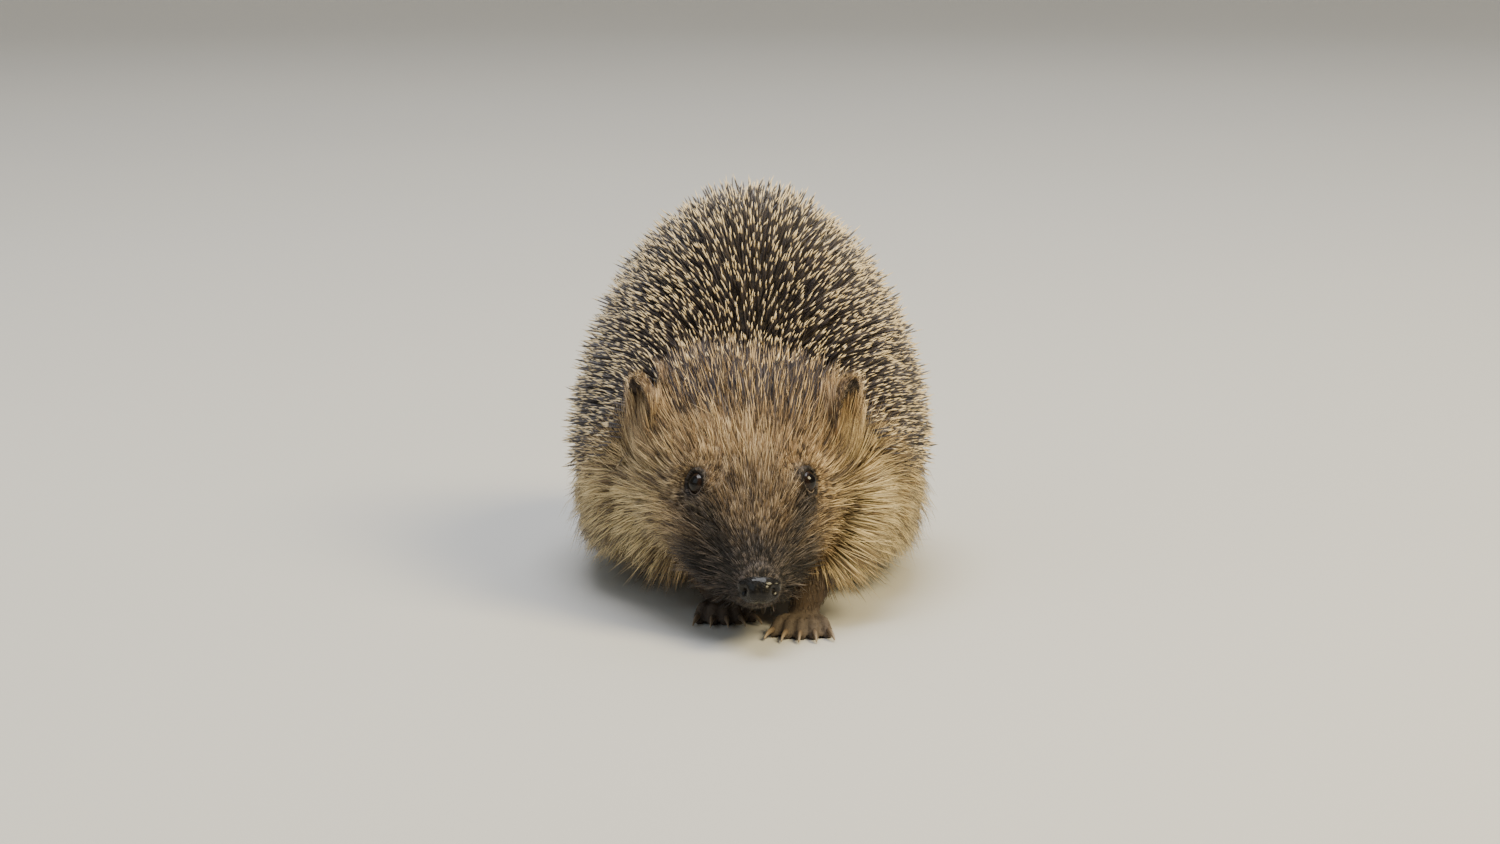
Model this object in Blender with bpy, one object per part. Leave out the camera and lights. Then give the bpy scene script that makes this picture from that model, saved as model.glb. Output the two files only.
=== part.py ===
"""European hedgehog, life size, walking with its head held low.

The outline of the whole coat is lofted as one body, fused and smoothed, and then parted by thin
plane cuts into trunk, neck, head, snout and lower jaw. Ears, legs and tail are seated against that
body, the eyes sit in sockets, and the feet stand flat on the floor at z = 0.
Lengths are millimetres times MM, the animal faces -Y, and its left side is +X.
"""

import math

import bmesh
import bpy
from mathutils import Matrix, Vector

MM = 0.001
GAP = 0.3 * MM  # clearance between touching pieces
RING_POINTS = 48
SIDES = ((1, "left"), (-1, "right"))

# Trunk: a dome out to the tips of the spines, with the fur skirt as its lower edge.
CREST_Y = 20 * MM
CREST_Z = 141 * MM
WIDEST_Z = 45 * MM
SKIRT_Z = 6.5 * MM
TRUNK_HALF_WIDTH = 65.5 * MM
TOP_RUN_FRONT = 84 * MM
TOP_RUN_REAR = 97 * MM
SIDE_RUN_FRONT = 104 * MM
DOME_POWER = 1.84
SKIRT_POWER = 4.2
REAR_POWER = 2.15
FRONT_DROP_POWER = 2.6
REAR_DROP_POWER = 3.2
BELLY_LIFT = 14 * MM
BELLY_HALF_SPAN = 0.62
TRUNK_STEPS = 34

# Head: tilted down, turned a little to its left; rings run from the nose to the nape.
# Each station: top (y, z), underside (y, z), half width, sideways place of its middle.
HEAD_STATIONS = (
    (-110.5, 27.0, -110.5, 18.5, 5.8, 3.0),
    (-108.0, 31.0, -108.0, 15.5, 7.6, 2.8),
    (-103.0, 37.0, -102.5, 13.0, 10.0, 2.4),
    (-96.5, 44.5, -94.5, 12.0, 14.2, 1.8),
    (-90.0, 52.8, -84.0, 12.0, 22.6, 1.0),
    (-82.0, 62.5, -72.0, 12.5, 31.0, 0.2),
    (-72.0, 74.0, -60.0, 13.5, 37.0, -0.8),
    (-60.0, 88.0, -48.0, 15.0, 43.5, -1.4),
    (-44.0, 101.0, -32.0, 17.0, 50.0, -1.6),
    (-24.0, 106.0, -14.0, 19.0, 52.0, -1.2),
)
HEAD_POWER = 2.35
HEAD_STEPS_PER_STATION = 4
HEAD_YAW = math.radians(5.5)

BODY_VOXEL = 2.2 * MM
BODY_SMOOTHING = 5
BODY_TRIANGLES = 3200
SHOULDER_SPAN = (-88 * MM, 40 * MM)
SHOULDER_SMOOTHING = 72

# Cuts that part the body: a point on the plane and its normal, which points to the rear piece.
SNOUT_CUT = ((0, -93 * MM, 30 * MM), (0, 1.0, 0.17))
JAW_CUT = ((0, -111 * MM, 16.8 * MM), (0, 0.10, 1.0))
NAPE_CUT = ((0, -47 * MM, 60 * MM), (0, 1.0, 0.16))
SHOULDER_CUT = ((0, -26 * MM, 60 * MM), (0, 1.0, 0.10))

# Nose pad.
NOSE_CENTRE = (3.1 * MM, -113.0 * MM, 22.6 * MM)
NOSE_HALF = (6.0 * MM, 3.8 * MM, 4.8 * MM)
NOSE_POWER = 2.3
NOSTRIL_RADIUS = 1.25 * MM
NOSTRIL_OUT = 4.8 * MM

# Eyes.
EYE_RADIUS = 4.0 * MM
EYE_HALF_SPACING = 17.9 * MM
EYE_MIDDLE = (0.8 * MM, -81.4 * MM, 52.2 * MM)

# Ears: cupped shells that face forwards and outwards.
EAR_HEIGHT = 27 * MM
EAR_HALF_WIDTH = 9.2 * MM
EAR_THICKNESS = 2.2 * MM
EAR_CUP = 4.0 * MM
EAR_HALF_SPACING = 29.8 * MM
EAR_ROOT = (-2.0 * MM, -56 * MM, 62 * MM)
EAR_FACING = math.radians(60)
EAR_SPLAY = math.radians(7)

# Tail.
TAIL_ROOT = (0, 92 * MM, 36 * MM)
TAIL_TIP = (0, 117 * MM, 15 * MM)
TAIL_RADII = (7.5 * MM, 1.8 * MM)

# Feet, and the legs above them: heel (x, y), heading in degrees, and the top of the leg.
FORE_FOOT = {
    "length": 25 * MM, "half_width": 7.2 * MM, "height": 7.5 * MM, "toe_radius": 2.2 * MM,
    "toe_length": 9.5 * MM, "fan": 10.5, "claw_length": 6.0 * MM, "ankle_radius": 5.4 * MM,
}
HIND_FOOT = {
    "length": 35 * MM, "half_width": 7.0 * MM, "height": 8.0 * MM, "toe_radius": 2.1 * MM,
    "toe_length": 9.0 * MM, "fan": 8.5, "claw_length": 6.5 * MM, "ankle_radius": 5.8 * MM,
}
LEGS = {
    "fore_left": {
        "foot": FORE_FOOT, "heel": (18.5, -68.0), "heading": -4.0,
        "top": (30.0, -50.0, 40.0), "top_radius": 11.0,
    },
    "fore_right": {
        "foot": FORE_FOOT, "heel": (-10.5, -47.0), "heading": 6.0,
        "top": (-29.0, -40.0, 40.0), "top_radius": 11.0,
    },
    "hind_left": {
        "foot": HIND_FOOT, "heel": (29.0, 91.0), "heading": 9.0,
        "top": (31.0, 62.0, 42.0), "top_radius": 14.0,
    },
    "hind_right": {
        "foot": HIND_FOOT, "heel": (-28.0, 62.0), "heading": -8.0,
        "top": (-31.0, 52.0, 42.0), "top_radius": 14.0,
    },
}
TOES = 5
SOLE_SINK = 0.9 * MM  # how far the pads reach below the floor before they are cut flat
FOOT_VOXEL = 0.95 * MM
FOOT_TRIANGLES = 250
ANKLE_CUT_Z = 10.5 * MM
CLAW_BASE_RADIUS = 1.0 * MM
CLAW_TIP_RADIUS = 0.32 * MM
CLAW_RINGS = 4
CLAW_SIDES = 6
CLAW_DROOP = math.radians(38)

# Colour and roughness of each finish.
FINISHES = {
    "coat": ((0.18, 0.13, 0.085), 0.75),
    "face": ((0.23, 0.16, 0.095), 0.75),
    "muzzle": ((0.07, 0.055, 0.045), 0.7),
    "ear": ((0.10, 0.07, 0.05), 0.7),
    "leg": ((0.06, 0.045, 0.033), 0.75),
    "paw": ((0.10, 0.07, 0.055), 0.6),
    "nose": ((0.02, 0.018, 0.018), 0.3),
    "eye": ((0.006, 0.005, 0.005), 0.05),
    "claw": ((0.33, 0.25, 0.17), 0.4),
}


def clear_scene():
    for obj in list(bpy.data.objects):
        bpy.data.objects.remove(obj, do_unlink=True)


def make_material(name):
    colour, roughness = FINISHES[name]
    material = bpy.data.materials.new(name)
    material.use_nodes = True
    shader = material.node_tree.nodes["Principled BSDF"]
    shader.inputs["Base Color"].default_value = (*colour, 1.0)
    shader.inputs["Roughness"].default_value = roughness
    shader.inputs["Metallic"].default_value = 0.0
    return material


def add_object(name, mesh, material):
    """Puts a mesh in the scene under its node's name, with smooth shading and one material."""
    mesh.materials.clear()
    mesh.materials.append(material)
    mesh.shade_smooth()
    mesh.set_sharp_from_angle(angle=math.radians(50))
    mesh.name = name
    obj = bpy.data.objects.new(name, mesh)
    bpy.context.scene.collection.objects.link(obj)
    return obj


def mesh_of(bm, name="work"):
    """Turns a bmesh into a mesh whose faces point outwards."""
    bm.normal_update()
    bmesh.ops.recalc_face_normals(bm, faces=bm.faces[:])
    mesh = bpy.data.meshes.new(name)
    bm.to_mesh(mesh)
    bm.free()
    return mesh


def settled_mesh(mesh, set_up):
    """The mesh as the modifiers that set_up adds to it leave it."""
    obj = bpy.data.objects.new("work", mesh)
    bpy.context.scene.collection.objects.link(obj)
    set_up(obj)
    depsgraph = bpy.context.evaluated_depsgraph_get()
    result = bpy.data.meshes.new_from_object(obj.evaluated_get(depsgraph))
    bpy.data.objects.remove(obj, do_unlink=True)
    return result


def signed_power(value, power):
    return math.copysign(abs(value) ** power, value)


def arch(t, power):
    """Height of a superellipse of unit size at t, from 1 in the middle to 0 at t = 1."""
    return max(0.0, 1.0 - abs(t) ** power) ** (1.0 / power)


def loft(rings):
    """A closed skin over rings of equal count, each a list of points, with flat ends."""
    bm = bmesh.new()
    rows = [[bm.verts.new(point) for point in ring] for ring in rings]
    count = len(rows[0])
    for near, far in zip(rows, rows[1:]):
        for i in range(count):
            j = (i + 1) % count
            bm.faces.new((near[i], near[j], far[j], far[i]))
    bm.faces.new(rows[0])
    bm.faces.new(reversed(rows[-1]))
    return mesh_of(bm)


def between(stations, steps):
    """Rows read from a smooth curve through the stations, with steps rows between each two."""
    rows = []
    last = len(stations) - 1
    for i in range(last):
        before = stations[max(i - 1, 0)]
        here, there = stations[i], stations[i + 1]
        after = stations[min(i + 2, last)]
        for k in range(steps):
            t = k / steps
            rows.append(tuple(
                0.5 * (2 * b + (c - a) * t + (2 * a - 5 * b + 4 * c - d) * t * t
                       + (3 * b - a - 3 * c + d) * t ** 3)
                for a, b, c, d in zip(before, here, there, after)))
    rows.append(stations[last])
    return rows


def trunk_ring(y):
    """Points round the trunk at y: a narrow dome above, a square-bottomed skirt below."""
    ahead = y < CREST_Y
    top_t = (CREST_Y - y) / TOP_RUN_FRONT if ahead else (y - CREST_Y) / TOP_RUN_REAR
    side_t = (CREST_Y - y) / SIDE_RUN_FRONT if ahead else (y - CREST_Y) / TOP_RUN_REAR
    rise = (CREST_Z - WIDEST_Z) * arch(top_t, 2.0 if ahead else REAR_POWER)
    width = TRUNK_HALF_WIDTH * arch(side_t, 2.0 if ahead else REAR_POWER)
    drop = (WIDEST_Z - SKIRT_Z) * arch(top_t, FRONT_DROP_POWER if ahead else REAR_DROP_POWER)
    points = []
    for i in range(RING_POINTS):
        angle = 2 * math.pi * i / RING_POINTS
        cos, sin = math.cos(angle), math.sin(angle)
        power = 2 / (DOME_POWER if sin > 0 else SKIRT_POWER)
        out = signed_power(cos, power)
        up = signed_power(sin, power)
        z = WIDEST_Z + (rise if sin > 0 else drop) * up
        if sin < 0:
            z += BELLY_LIFT * arch(side_t, 2.0) * arch(min(1, abs(out) / BELLY_HALF_SPAN), 2.0) ** 2
        points.append(Vector((width * out, y, z)))
    return points


def trunk_mesh():
    front = CREST_Y - 0.985 * TOP_RUN_FRONT
    rear = CREST_Y + 0.9985 * TOP_RUN_REAR
    middle, reach = (front + rear) / 2, (rear - front) / 2
    steps = [math.cos(math.pi * i / TRUNK_STEPS) for i in range(TRUNK_STEPS + 1)]
    return loft([trunk_ring(middle - reach * step) for step in steps])


def head_ring(top_y, top_z, low_y, low_z, half_width, side):
    """Points round the head between its top and its underside at one station."""
    top = Vector((0, top_y, top_z)) * MM
    low = Vector((0, low_y, low_z)) * MM
    centre = (top + low) / 2 + Vector((side * MM, 0, 0))
    up = (top - low) / 2
    across = Vector((math.cos(HEAD_YAW), math.sin(HEAD_YAW), 0)) * half_width * MM
    points = []
    for i in range(RING_POINTS):
        angle = 2 * math.pi * i / RING_POINTS
        cos = signed_power(math.cos(angle), 2 / HEAD_POWER)
        sin = signed_power(math.sin(angle), 2 / HEAD_POWER)
        points.append(centre + across * cos + up * sin)
    return points


def head_mesh():
    rows = between(HEAD_STATIONS, HEAD_STEPS_PER_STATION)
    return loft([head_ring(*row) for row in rows])


def joined(meshes):
    bm = bmesh.new()
    for mesh in meshes:
        bm.from_mesh(mesh)
    return mesh_of(bm)


def relaxed(mesh, span, rounds):
    """A mesh smoothed between two places in Y, less and less towards the rear one."""
    bm = bmesh.new()
    bm.from_mesh(mesh)
    front, rear = span
    for i in range(rounds):
        reach = rear - (rear - front) * 0.6 * i / rounds
        chosen = [vert for vert in bm.verts if front < vert.co.y < reach]
        bmesh.ops.smooth_vert(
            bm, verts=chosen, factor=0.5, use_axis_x=True, use_axis_y=True, use_axis_z=True)
    return mesh_of(bm)


def fused(meshes, voxel, smoothing, triangles, span=None):
    """One closed body from overlapping ones, smoothed and brought down to a count of triangles."""
    def remesh(obj):
        modifier = obj.modifiers.new("Fuse", "REMESH")
        modifier.mode = "VOXEL"
        modifier.voxel_size = voxel
        modifier = obj.modifiers.new("Relax", "SMOOTH")
        modifier.factor = 0.5
        modifier.iterations = smoothing
        obj.modifiers.new("Split", "TRIANGULATE")

    dense = settled_mesh(joined(meshes), remesh)
    if span:
        dense = relaxed(dense, span, SHOULDER_SMOOTHING)

    def thin_out(obj):
        modifier = obj.modifiers.new("Thin", "DECIMATE")
        modifier.ratio = min(1.0, triangles / len(dense.polygons))

    return settled_mesh(dense, thin_out)


def cut(mesh, plane, keep_rear, gap=GAP):
    """The piece of a mesh on one side of a plane, capped, and half a gap back from the plane."""
    point, normal = Vector(plane[0]), Vector(plane[1]).normalized()
    outward = -normal if keep_rear else normal
    bm = bmesh.new()
    bm.from_mesh(mesh)
    result = bmesh.ops.bisect_plane(
        bm, geom=bm.verts[:] + bm.edges[:] + bm.faces[:], plane_co=point - outward * gap / 2,
        plane_no=outward, clear_outer=True, dist=1e-6)
    edges = [item for item in result["geom_cut"] if isinstance(item, bmesh.types.BMEdge)]
    bmesh.ops.holes_fill(bm, edges=edges, sides=0)
    return mesh_of(bm)


def swollen(mesh, amount):
    """A copy of a mesh grown outwards by an amount, to cut its neighbours with."""
    bm = bmesh.new()
    bm.from_mesh(mesh)
    bm.normal_update()
    shifts = [vert.normal * amount for vert in bm.verts]
    for vert, shift in zip(bm.verts, shifts):
        vert.co += shift
    return mesh_of(bm)


def carved(mesh, cutter_mesh):
    """A mesh with another taken away from it."""
    cutter = bpy.data.objects.new("cutter", cutter_mesh)
    bpy.context.scene.collection.objects.link(cutter)
    cutter.hide_render = True
    cutter.display_type = "WIRE"

    def subtract(obj):
        modifier = obj.modifiers.new("Carve", "BOOLEAN")
        modifier.operation = "DIFFERENCE"
        modifier.solver = "EXACT"
        modifier.object = cutter

    result = settled_mesh(mesh, subtract)
    bpy.data.objects.remove(cutter, do_unlink=True)
    return result


def largest_piece(mesh):
    """The biggest connected piece of a mesh, without the slivers a carve can leave."""
    bm = bmesh.new()
    bm.from_mesh(mesh)
    seen, pieces = set(), []
    for vert in bm.verts:
        if vert in seen:
            continue
        group, stack = [], [vert]
        seen.add(vert)
        while stack:
            here = stack.pop()
            group.append(here)
            for edge in here.link_edges:
                other = edge.other_vert(here)
                if other not in seen:
                    seen.add(other)
                    stack.append(other)
        pieces.append(group)
    pieces.sort(key=len, reverse=True)
    for group in pieces[1:]:
        bmesh.ops.delete(bm, geom=group, context="VERTS")
    return mesh_of(bm)


def ball_mesh(centre, half, power=2.0, sides=16, rings=10):
    """A ball, or a squarer ball of a higher power, with its poles along Y."""
    bm = bmesh.new()
    bmesh.ops.create_uvsphere(bm, u_segments=sides, v_segments=rings, radius=1.0)
    turn = Matrix.Rotation(math.pi / 2, 3, "X")
    for vert in bm.verts:
        place = turn @ vert.co
        size = sum(abs(value) ** power for value in place) ** (1 / power)
        vert.co = Vector(value * extent / size for value, extent in zip(place, half))
        vert.co += Vector(centre)
    return mesh_of(bm)


def tube_mesh(points, radii, sides=16, flatten=1.0):
    """A round tapered limb through points, with rounded ends; flatten narrows it sideways."""
    first = (Vector(points[0]) - Vector(points[1])).normalized()
    last = (Vector(points[-1]) - Vector(points[-2])).normalized()
    centres, sizes = [], []
    for angle in (75, 45):
        turn = math.radians(angle)
        centres.append(Vector(points[0]) + first * radii[0] * math.sin(turn))
        sizes.append(radii[0] * math.cos(turn))
    centres += [Vector(point) for point in points]
    sizes += list(radii)
    for angle in (45, 75):
        turn = math.radians(angle)
        centres.append(Vector(points[-1]) + last * radii[-1] * math.sin(turn))
        sizes.append(radii[-1] * math.cos(turn))
    rings = []
    side = Vector((1, 0, 0))
    for i, (centre, size) in enumerate(zip(centres, sizes)):
        along = (centres[min(i + 1, len(centres) - 1)] - centres[max(i - 1, 0)]).normalized()
        across = (side - along * side.dot(along)).normalized()
        up = along.cross(across)
        rings.append([
            centre + across * size * flatten * math.cos(a) + up * size * math.sin(a)
            for a in (2 * math.pi * k / sides for k in range(sides))])
    return loft(rings)


def ear_mesh(side):
    """A cupped leaf-shaped shell; its root is sunk in the coat."""
    columns, rows = 9, 9
    facing = Matrix.Rotation(side * EAR_FACING, 3, "Z")
    splay = Matrix.Rotation(side * EAR_SPLAY, 3, "Y")
    root = Vector(EAR_ROOT) + Vector((side * EAR_HALF_SPACING, 0, 0))
    bm = bmesh.new()
    sheets = []
    for shift in (-0.5, 0.5):
        sheet = []
        for i in range(rows):
            v = i / (rows - 1)
            half = EAR_HALF_WIDTH * (0.72 + 0.28 * math.sin(math.pi * v)) * arch(v ** 1.6, 2.2)
            half = max(half, 0.18 * EAR_HALF_WIDTH)
            row = []
            for j in range(columns):
                u = 2 * j / (columns - 1) - 1
                edge = 1 - 0.35 * max(abs(u), v) ** 3
                x = half * u
                y = -EAR_CUP * u * u * (1 - 0.4 * v) - 2.0 * MM * v * v
                y += shift * EAR_THICKNESS * edge
                z = EAR_HEIGHT * v
                row.append(bm.verts.new(root + splay @ facing @ Vector((x, y, z))))
            sheet.append(row)
        sheets.append(sheet)
    inner, outer = sheets
    for sheet in sheets:
        for i in range(rows - 1):
            for j in range(columns - 1):
                bm.faces.new((sheet[i][j], sheet[i][j + 1], sheet[i + 1][j + 1], sheet[i + 1][j]))
    rim = [(0, j) for j in range(columns)] + [(i, columns - 1) for i in range(1, rows)]
    rim += [(rows - 1, j) for j in range(columns - 2, -1, -1)]
    rim += [(i, 0) for i in range(rows - 2, 0, -1)]
    for (i, j), (k, m) in zip(rim, rim[1:] + rim[:1]):
        bm.faces.new((inner[i][j], inner[k][m], outer[k][m], outer[i][j]))
    return mesh_of(bm)


def foot_frame(leg):
    """Takes a point in a foot's own axes, toes to -Y and heel at the origin, to its place."""
    heel = Vector((leg["heel"][0] * MM, leg["heel"][1] * MM, 0))
    return Matrix.Translation(heel) @ Matrix.Rotation(math.radians(leg["heading"]), 4, "Z")


def toe_line(foot, number):
    """Root, knuckle and tip of a toe in the foot's own axes; the middle toe reaches furthest."""
    offset = number - (TOES - 1) / 2
    fan = math.radians(foot["fan"]) * offset
    reach = 1 - 0.055 * offset * offset
    root_x = 0.78 * foot["half_width"] * offset / 2
    root = Vector((root_x, -(foot["length"] - foot["toe_length"] * 1.35) * reach, 4.2 * MM))
    along = Vector((math.sin(fan), -math.cos(fan), 0))
    knuckle = root + along * foot["toe_length"] * 0.55 + Vector((0, 0, -0.2 * MM))
    tip = root + along * foot["toe_length"] * 1.05
    tip.z = foot["toe_radius"] - SOLE_SINK * 0.75
    return root, knuckle, tip


def foot_mesh(leg):
    """Sole, ankle and toes fused into one paw, with its pads cut flat at the floor."""
    foot = leg["foot"]
    width, height = foot["half_width"], foot["height"]
    palm_y = -(foot["length"] - foot["toe_length"])
    sole = ball_mesh(
        (0, palm_y * 0.52, height * 0.42 - SOLE_SINK * 0.5),
        (width * 0.92, -palm_y * 0.60, height * 0.50), power=2.5)
    ball = ball_mesh(
        (0, palm_y * 0.86, height * 0.36 - SOLE_SINK * 0.5),
        (width, foot["length"] * 0.19, height * 0.42), power=2.4)
    shin_foot = foot_frame(leg).inverted() @ (Vector(leg["top"]) * MM)
    ankle = Vector((0, -foot["ankle_radius"], height * 0.62))
    above = ankle + (shin_foot - ankle) * 0.42
    shin = tube_mesh([ankle, (ankle + above) / 2, above], [foot["ankle_radius"]] * 3)
    pieces = [sole, ball, shin]
    for number in range(TOES):
        line = toe_line(foot, number)
        radius = foot["toe_radius"]
        pieces.append(tube_mesh(line, (radius, radius * 1.02, radius * 0.95), sides=12))
    mesh = fused(pieces, FOOT_VOXEL, 3, FOOT_TRIANGLES)
    mesh.transform(foot_frame(leg))
    mesh = cut(mesh, ((0, 0, 0), (0, 0, 1)), keep_rear=True, gap=0)
    return largest_piece(mesh)


def leg_mesh(leg):
    """The leg from the shoulder or hip down to the ankle, before it is seated."""
    foot = leg["foot"]
    frame = foot_frame(leg)
    ankle = frame @ Vector((0, -foot["ankle_radius"], foot["height"] * 0.62))
    top = Vector(leg["top"]) * MM
    radii = (leg["top_radius"] * MM, leg["top_radius"] * 0.82 * MM, foot["ankle_radius"] * 1.12)
    return tube_mesh([top, top.lerp(ankle, 0.45), ankle], radii, sides=20)


def claw_mesh(leg, number):
    """A tapered claw that curves down from its toe to just above the floor."""
    foot = leg["foot"]
    _, knuckle, tip = toe_line(foot, number)
    along = (tip - knuckle)
    along.z = 0
    along.normalize()
    place = tip + along * (foot["toe_radius"] * 0.95 + GAP)
    place.z = tip.z + 0.5 * MM
    rings = []
    heading = 0.0
    step = foot["claw_length"] / (CLAW_RINGS - 1)
    side = Vector((along.y, -along.x, 0))
    for i in range(CLAW_RINGS):
        t = i / (CLAW_RINGS - 1)
        radius = CLAW_BASE_RADIUS * (1 - t) + CLAW_TIP_RADIUS * t
        direction = along * math.cos(heading) + Vector((0, 0, -math.sin(heading)))
        up = side.cross(direction)
        rings.append([
            place + side * radius * 0.8 * math.cos(a) + up * radius * 1.15 * math.sin(a)
            for a in (2 * math.pi * k / CLAW_SIDES for k in range(CLAW_SIDES))])
        heading = CLAW_DROOP * (t + 1 / (CLAW_RINGS - 1)) ** 1.3 * 0.8
        place = place + direction * step
    mesh = loft(rings)
    mesh.transform(foot_frame(leg))
    return mesh


def nose_mesh():
    """The moist nose pad, with a nostril sunk in each side."""
    pad = ball_mesh(NOSE_CENTRE, NOSE_HALF, NOSE_POWER, sides=16, rings=10)
    for side in (-1, 1):
        place = Vector(NOSE_CENTRE) + Vector((side * NOSTRIL_OUT, -NOSE_HALF[1] * 0.75, 0.5 * MM))
        nostril = ball_mesh(place, [NOSTRIL_RADIUS] * 3, sides=8, rings=6)
        pad = carved(pad, nostril)
    return pad


def eye_mesh(side):
    across = Vector((math.cos(HEAD_YAW), math.sin(HEAD_YAW), 0))
    centre = Vector(EYE_MIDDLE) + across * side * EYE_HALF_SPACING
    return ball_mesh(centre, [EYE_RADIUS] * 3, sides=14, rings=10)


def add_body(body, materials):
    """Parts the body with thin cuts, and adds the pieces with the nose and the eyes."""
    trunk = cut(body, SHOULDER_CUT, keep_rear=True)
    front = cut(body, SHOULDER_CUT, keep_rear=False)
    neck = cut(front, NAPE_CUT, keep_rear=True)
    front = cut(front, NAPE_CUT, keep_rear=False)
    head = cut(front, SNOUT_CUT, keep_rear=True)
    muzzle = cut(front, SNOUT_CUT, keep_rear=False)
    snout = cut(muzzle, JAW_CUT, keep_rear=True)
    jaw = cut(muzzle, JAW_CUT, keep_rear=False)

    nose = nose_mesh()
    snout = largest_piece(carved(snout, swollen(nose, GAP)))
    add_object("nose", nose, materials["nose"])
    for side, name in SIDES:
        eye = eye_mesh(side)
        head = carved(head, swollen(eye, GAP))
        add_object("eye_" + name, eye, materials["eye"])

    add_object("trunk", trunk, materials["coat"])
    add_object("neck", neck, materials["coat"])
    add_object("head", head, materials["face"])
    add_object("snout", snout, materials["muzzle"])
    add_object("lower_jaw", jaw, materials["face"])


def add_limbs(around, materials):
    """Adds the ears, the tail and the legs, each cut back to the surface of the body."""
    for side, name in SIDES:
        ear = largest_piece(carved(ear_mesh(side), around))
        add_object("ear_" + name, ear, materials["ear"])
    tail = tube_mesh([TAIL_ROOT, TAIL_TIP], TAIL_RADII, sides=14)
    add_object("tail", largest_piece(carved(tail, around)), materials["leg"])

    ankle_cut = ((0, 0, ANKLE_CUT_Z), (0, 0, 1))
    for name, leg in LEGS.items():
        shank = largest_piece(carved(leg_mesh(leg), around))
        shank = cut(shank, ankle_cut, keep_rear=True)
        add_object("leg_" + name, shank, materials["leg"])
        foot = cut(foot_mesh(leg), ankle_cut, keep_rear=False)
        add_object("foot_" + name, largest_piece(foot), materials["paw"])
        for number in range(TOES):
            claw = claw_mesh(leg, number)
            add_object(f"claw_{name}_{number + 1}", claw, materials["claw"])


def centre_on_floor():
    """Moves the whole animal so that its box is centred on the origin; the soles stay at z = 0."""
    objects = [obj for obj in bpy.data.objects if obj.type == "MESH"]
    points = [vert.co for obj in objects for vert in obj.data.vertices]
    middle = [(min(p[k] for p in points) + max(p[k] for p in points)) / 2 for k in (0, 1)]
    shift = Matrix.Translation((-middle[0], -middle[1], 0))
    for obj in objects:
        obj.data.transform(shift)


def build():
    clear_scene()
    materials = {name: make_material(name) for name in FINISHES}
    body = fused(
        [trunk_mesh(), head_mesh()], BODY_VOXEL, BODY_SMOOTHING, BODY_TRIANGLES, SHOULDER_SPAN)
    add_body(body, materials)
    add_limbs(swollen(body, GAP), materials)
    centre_on_floor()


build()
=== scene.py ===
"""Life-size hedgehog for a museum case, walking with its head low.

One skin stands in for the parts of flesh. Spines and locks of fur are solid meshes rooted in
it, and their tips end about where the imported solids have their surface. Lengths are metres,
written as millimetres times MM. The animal faces -Y, and its left side is +X.
"""

from itertools import product
from math import copysign, cos, exp, pi, radians, sin
from types import SimpleNamespace as Sizes

import bmesh
import bpy
import numpy as np
from mathutils import Matrix, Vector
from mathutils.bvhtree import BVHTree
from mathutils.kdtree import KDTree


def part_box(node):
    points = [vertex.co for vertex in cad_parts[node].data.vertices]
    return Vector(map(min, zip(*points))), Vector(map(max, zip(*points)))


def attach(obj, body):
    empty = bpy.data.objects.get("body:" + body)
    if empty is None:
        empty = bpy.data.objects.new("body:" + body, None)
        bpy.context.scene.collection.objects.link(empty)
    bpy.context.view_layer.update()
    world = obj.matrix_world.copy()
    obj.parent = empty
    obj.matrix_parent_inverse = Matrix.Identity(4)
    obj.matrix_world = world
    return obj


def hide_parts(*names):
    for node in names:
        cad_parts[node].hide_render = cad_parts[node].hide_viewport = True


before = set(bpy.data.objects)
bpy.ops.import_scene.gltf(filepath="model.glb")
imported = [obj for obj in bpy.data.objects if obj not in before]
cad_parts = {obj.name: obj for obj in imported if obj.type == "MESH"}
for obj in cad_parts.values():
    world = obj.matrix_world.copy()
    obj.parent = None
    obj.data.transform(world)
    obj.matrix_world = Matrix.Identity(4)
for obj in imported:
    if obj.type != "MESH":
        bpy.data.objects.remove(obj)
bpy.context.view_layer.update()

MM = 0.001
SIDES = {"left": 1, "right": -1}


def middle_of(node):
    low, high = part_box(node)
    return (low + high) / 2


NOSE = middle_of("nose")
SHIFT = NOSE - Vector((3.1 * MM, -113.0 * MM, 22.6 * MM))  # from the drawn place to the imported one
EYES = {side: middle_of("eye_" + side) for side in SIDES}
EYE_RADIUS = 4.0 * MM
EYE_TURN, EYE_TILT = radians(63), radians(16)
HEAD_YAW = radians(5.5)
LID_RADIUS, LID_HEIGHT = 3.72 * MM, 1.45 * MM

# Ears, legs and tail, by the sizes of the solids.
EAR_HEIGHT, EAR_HALF_WIDTH, EAR_CUP = 23 * MM, 7.8 * MM, 5.2 * MM
EAR_THICKNESS, EAR_HALF_SPACING = 1.25 * MM, 29.8 * MM
EAR_ROOT = Vector((-2.0 * MM, -56 * MM, 62 * MM))
EAR_FACING, EAR_SPLAY = radians(63), radians(7)
TAIL_ROOT = Vector((0, 92 * MM, 36 * MM)) + SHIFT
TAIL_TIP = Vector((0, 117 * MM, 15 * MM)) + SHIFT
FORE_FOOT = Sizes(length=25 * MM, half_width=7.2 * MM, height=7.5 * MM, toe_radius=2.2 * MM,
                  toe_length=9.5 * MM, fan=10.5, claw_length=6.0 * MM, ankle_radius=5.4 * MM)
HIND_FOOT = Sizes(length=35 * MM, half_width=7.0 * MM, height=8.0 * MM, toe_radius=2.1 * MM,
                  toe_length=9.0 * MM, fan=8.5, claw_length=6.5 * MM, ankle_radius=5.8 * MM)
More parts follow.
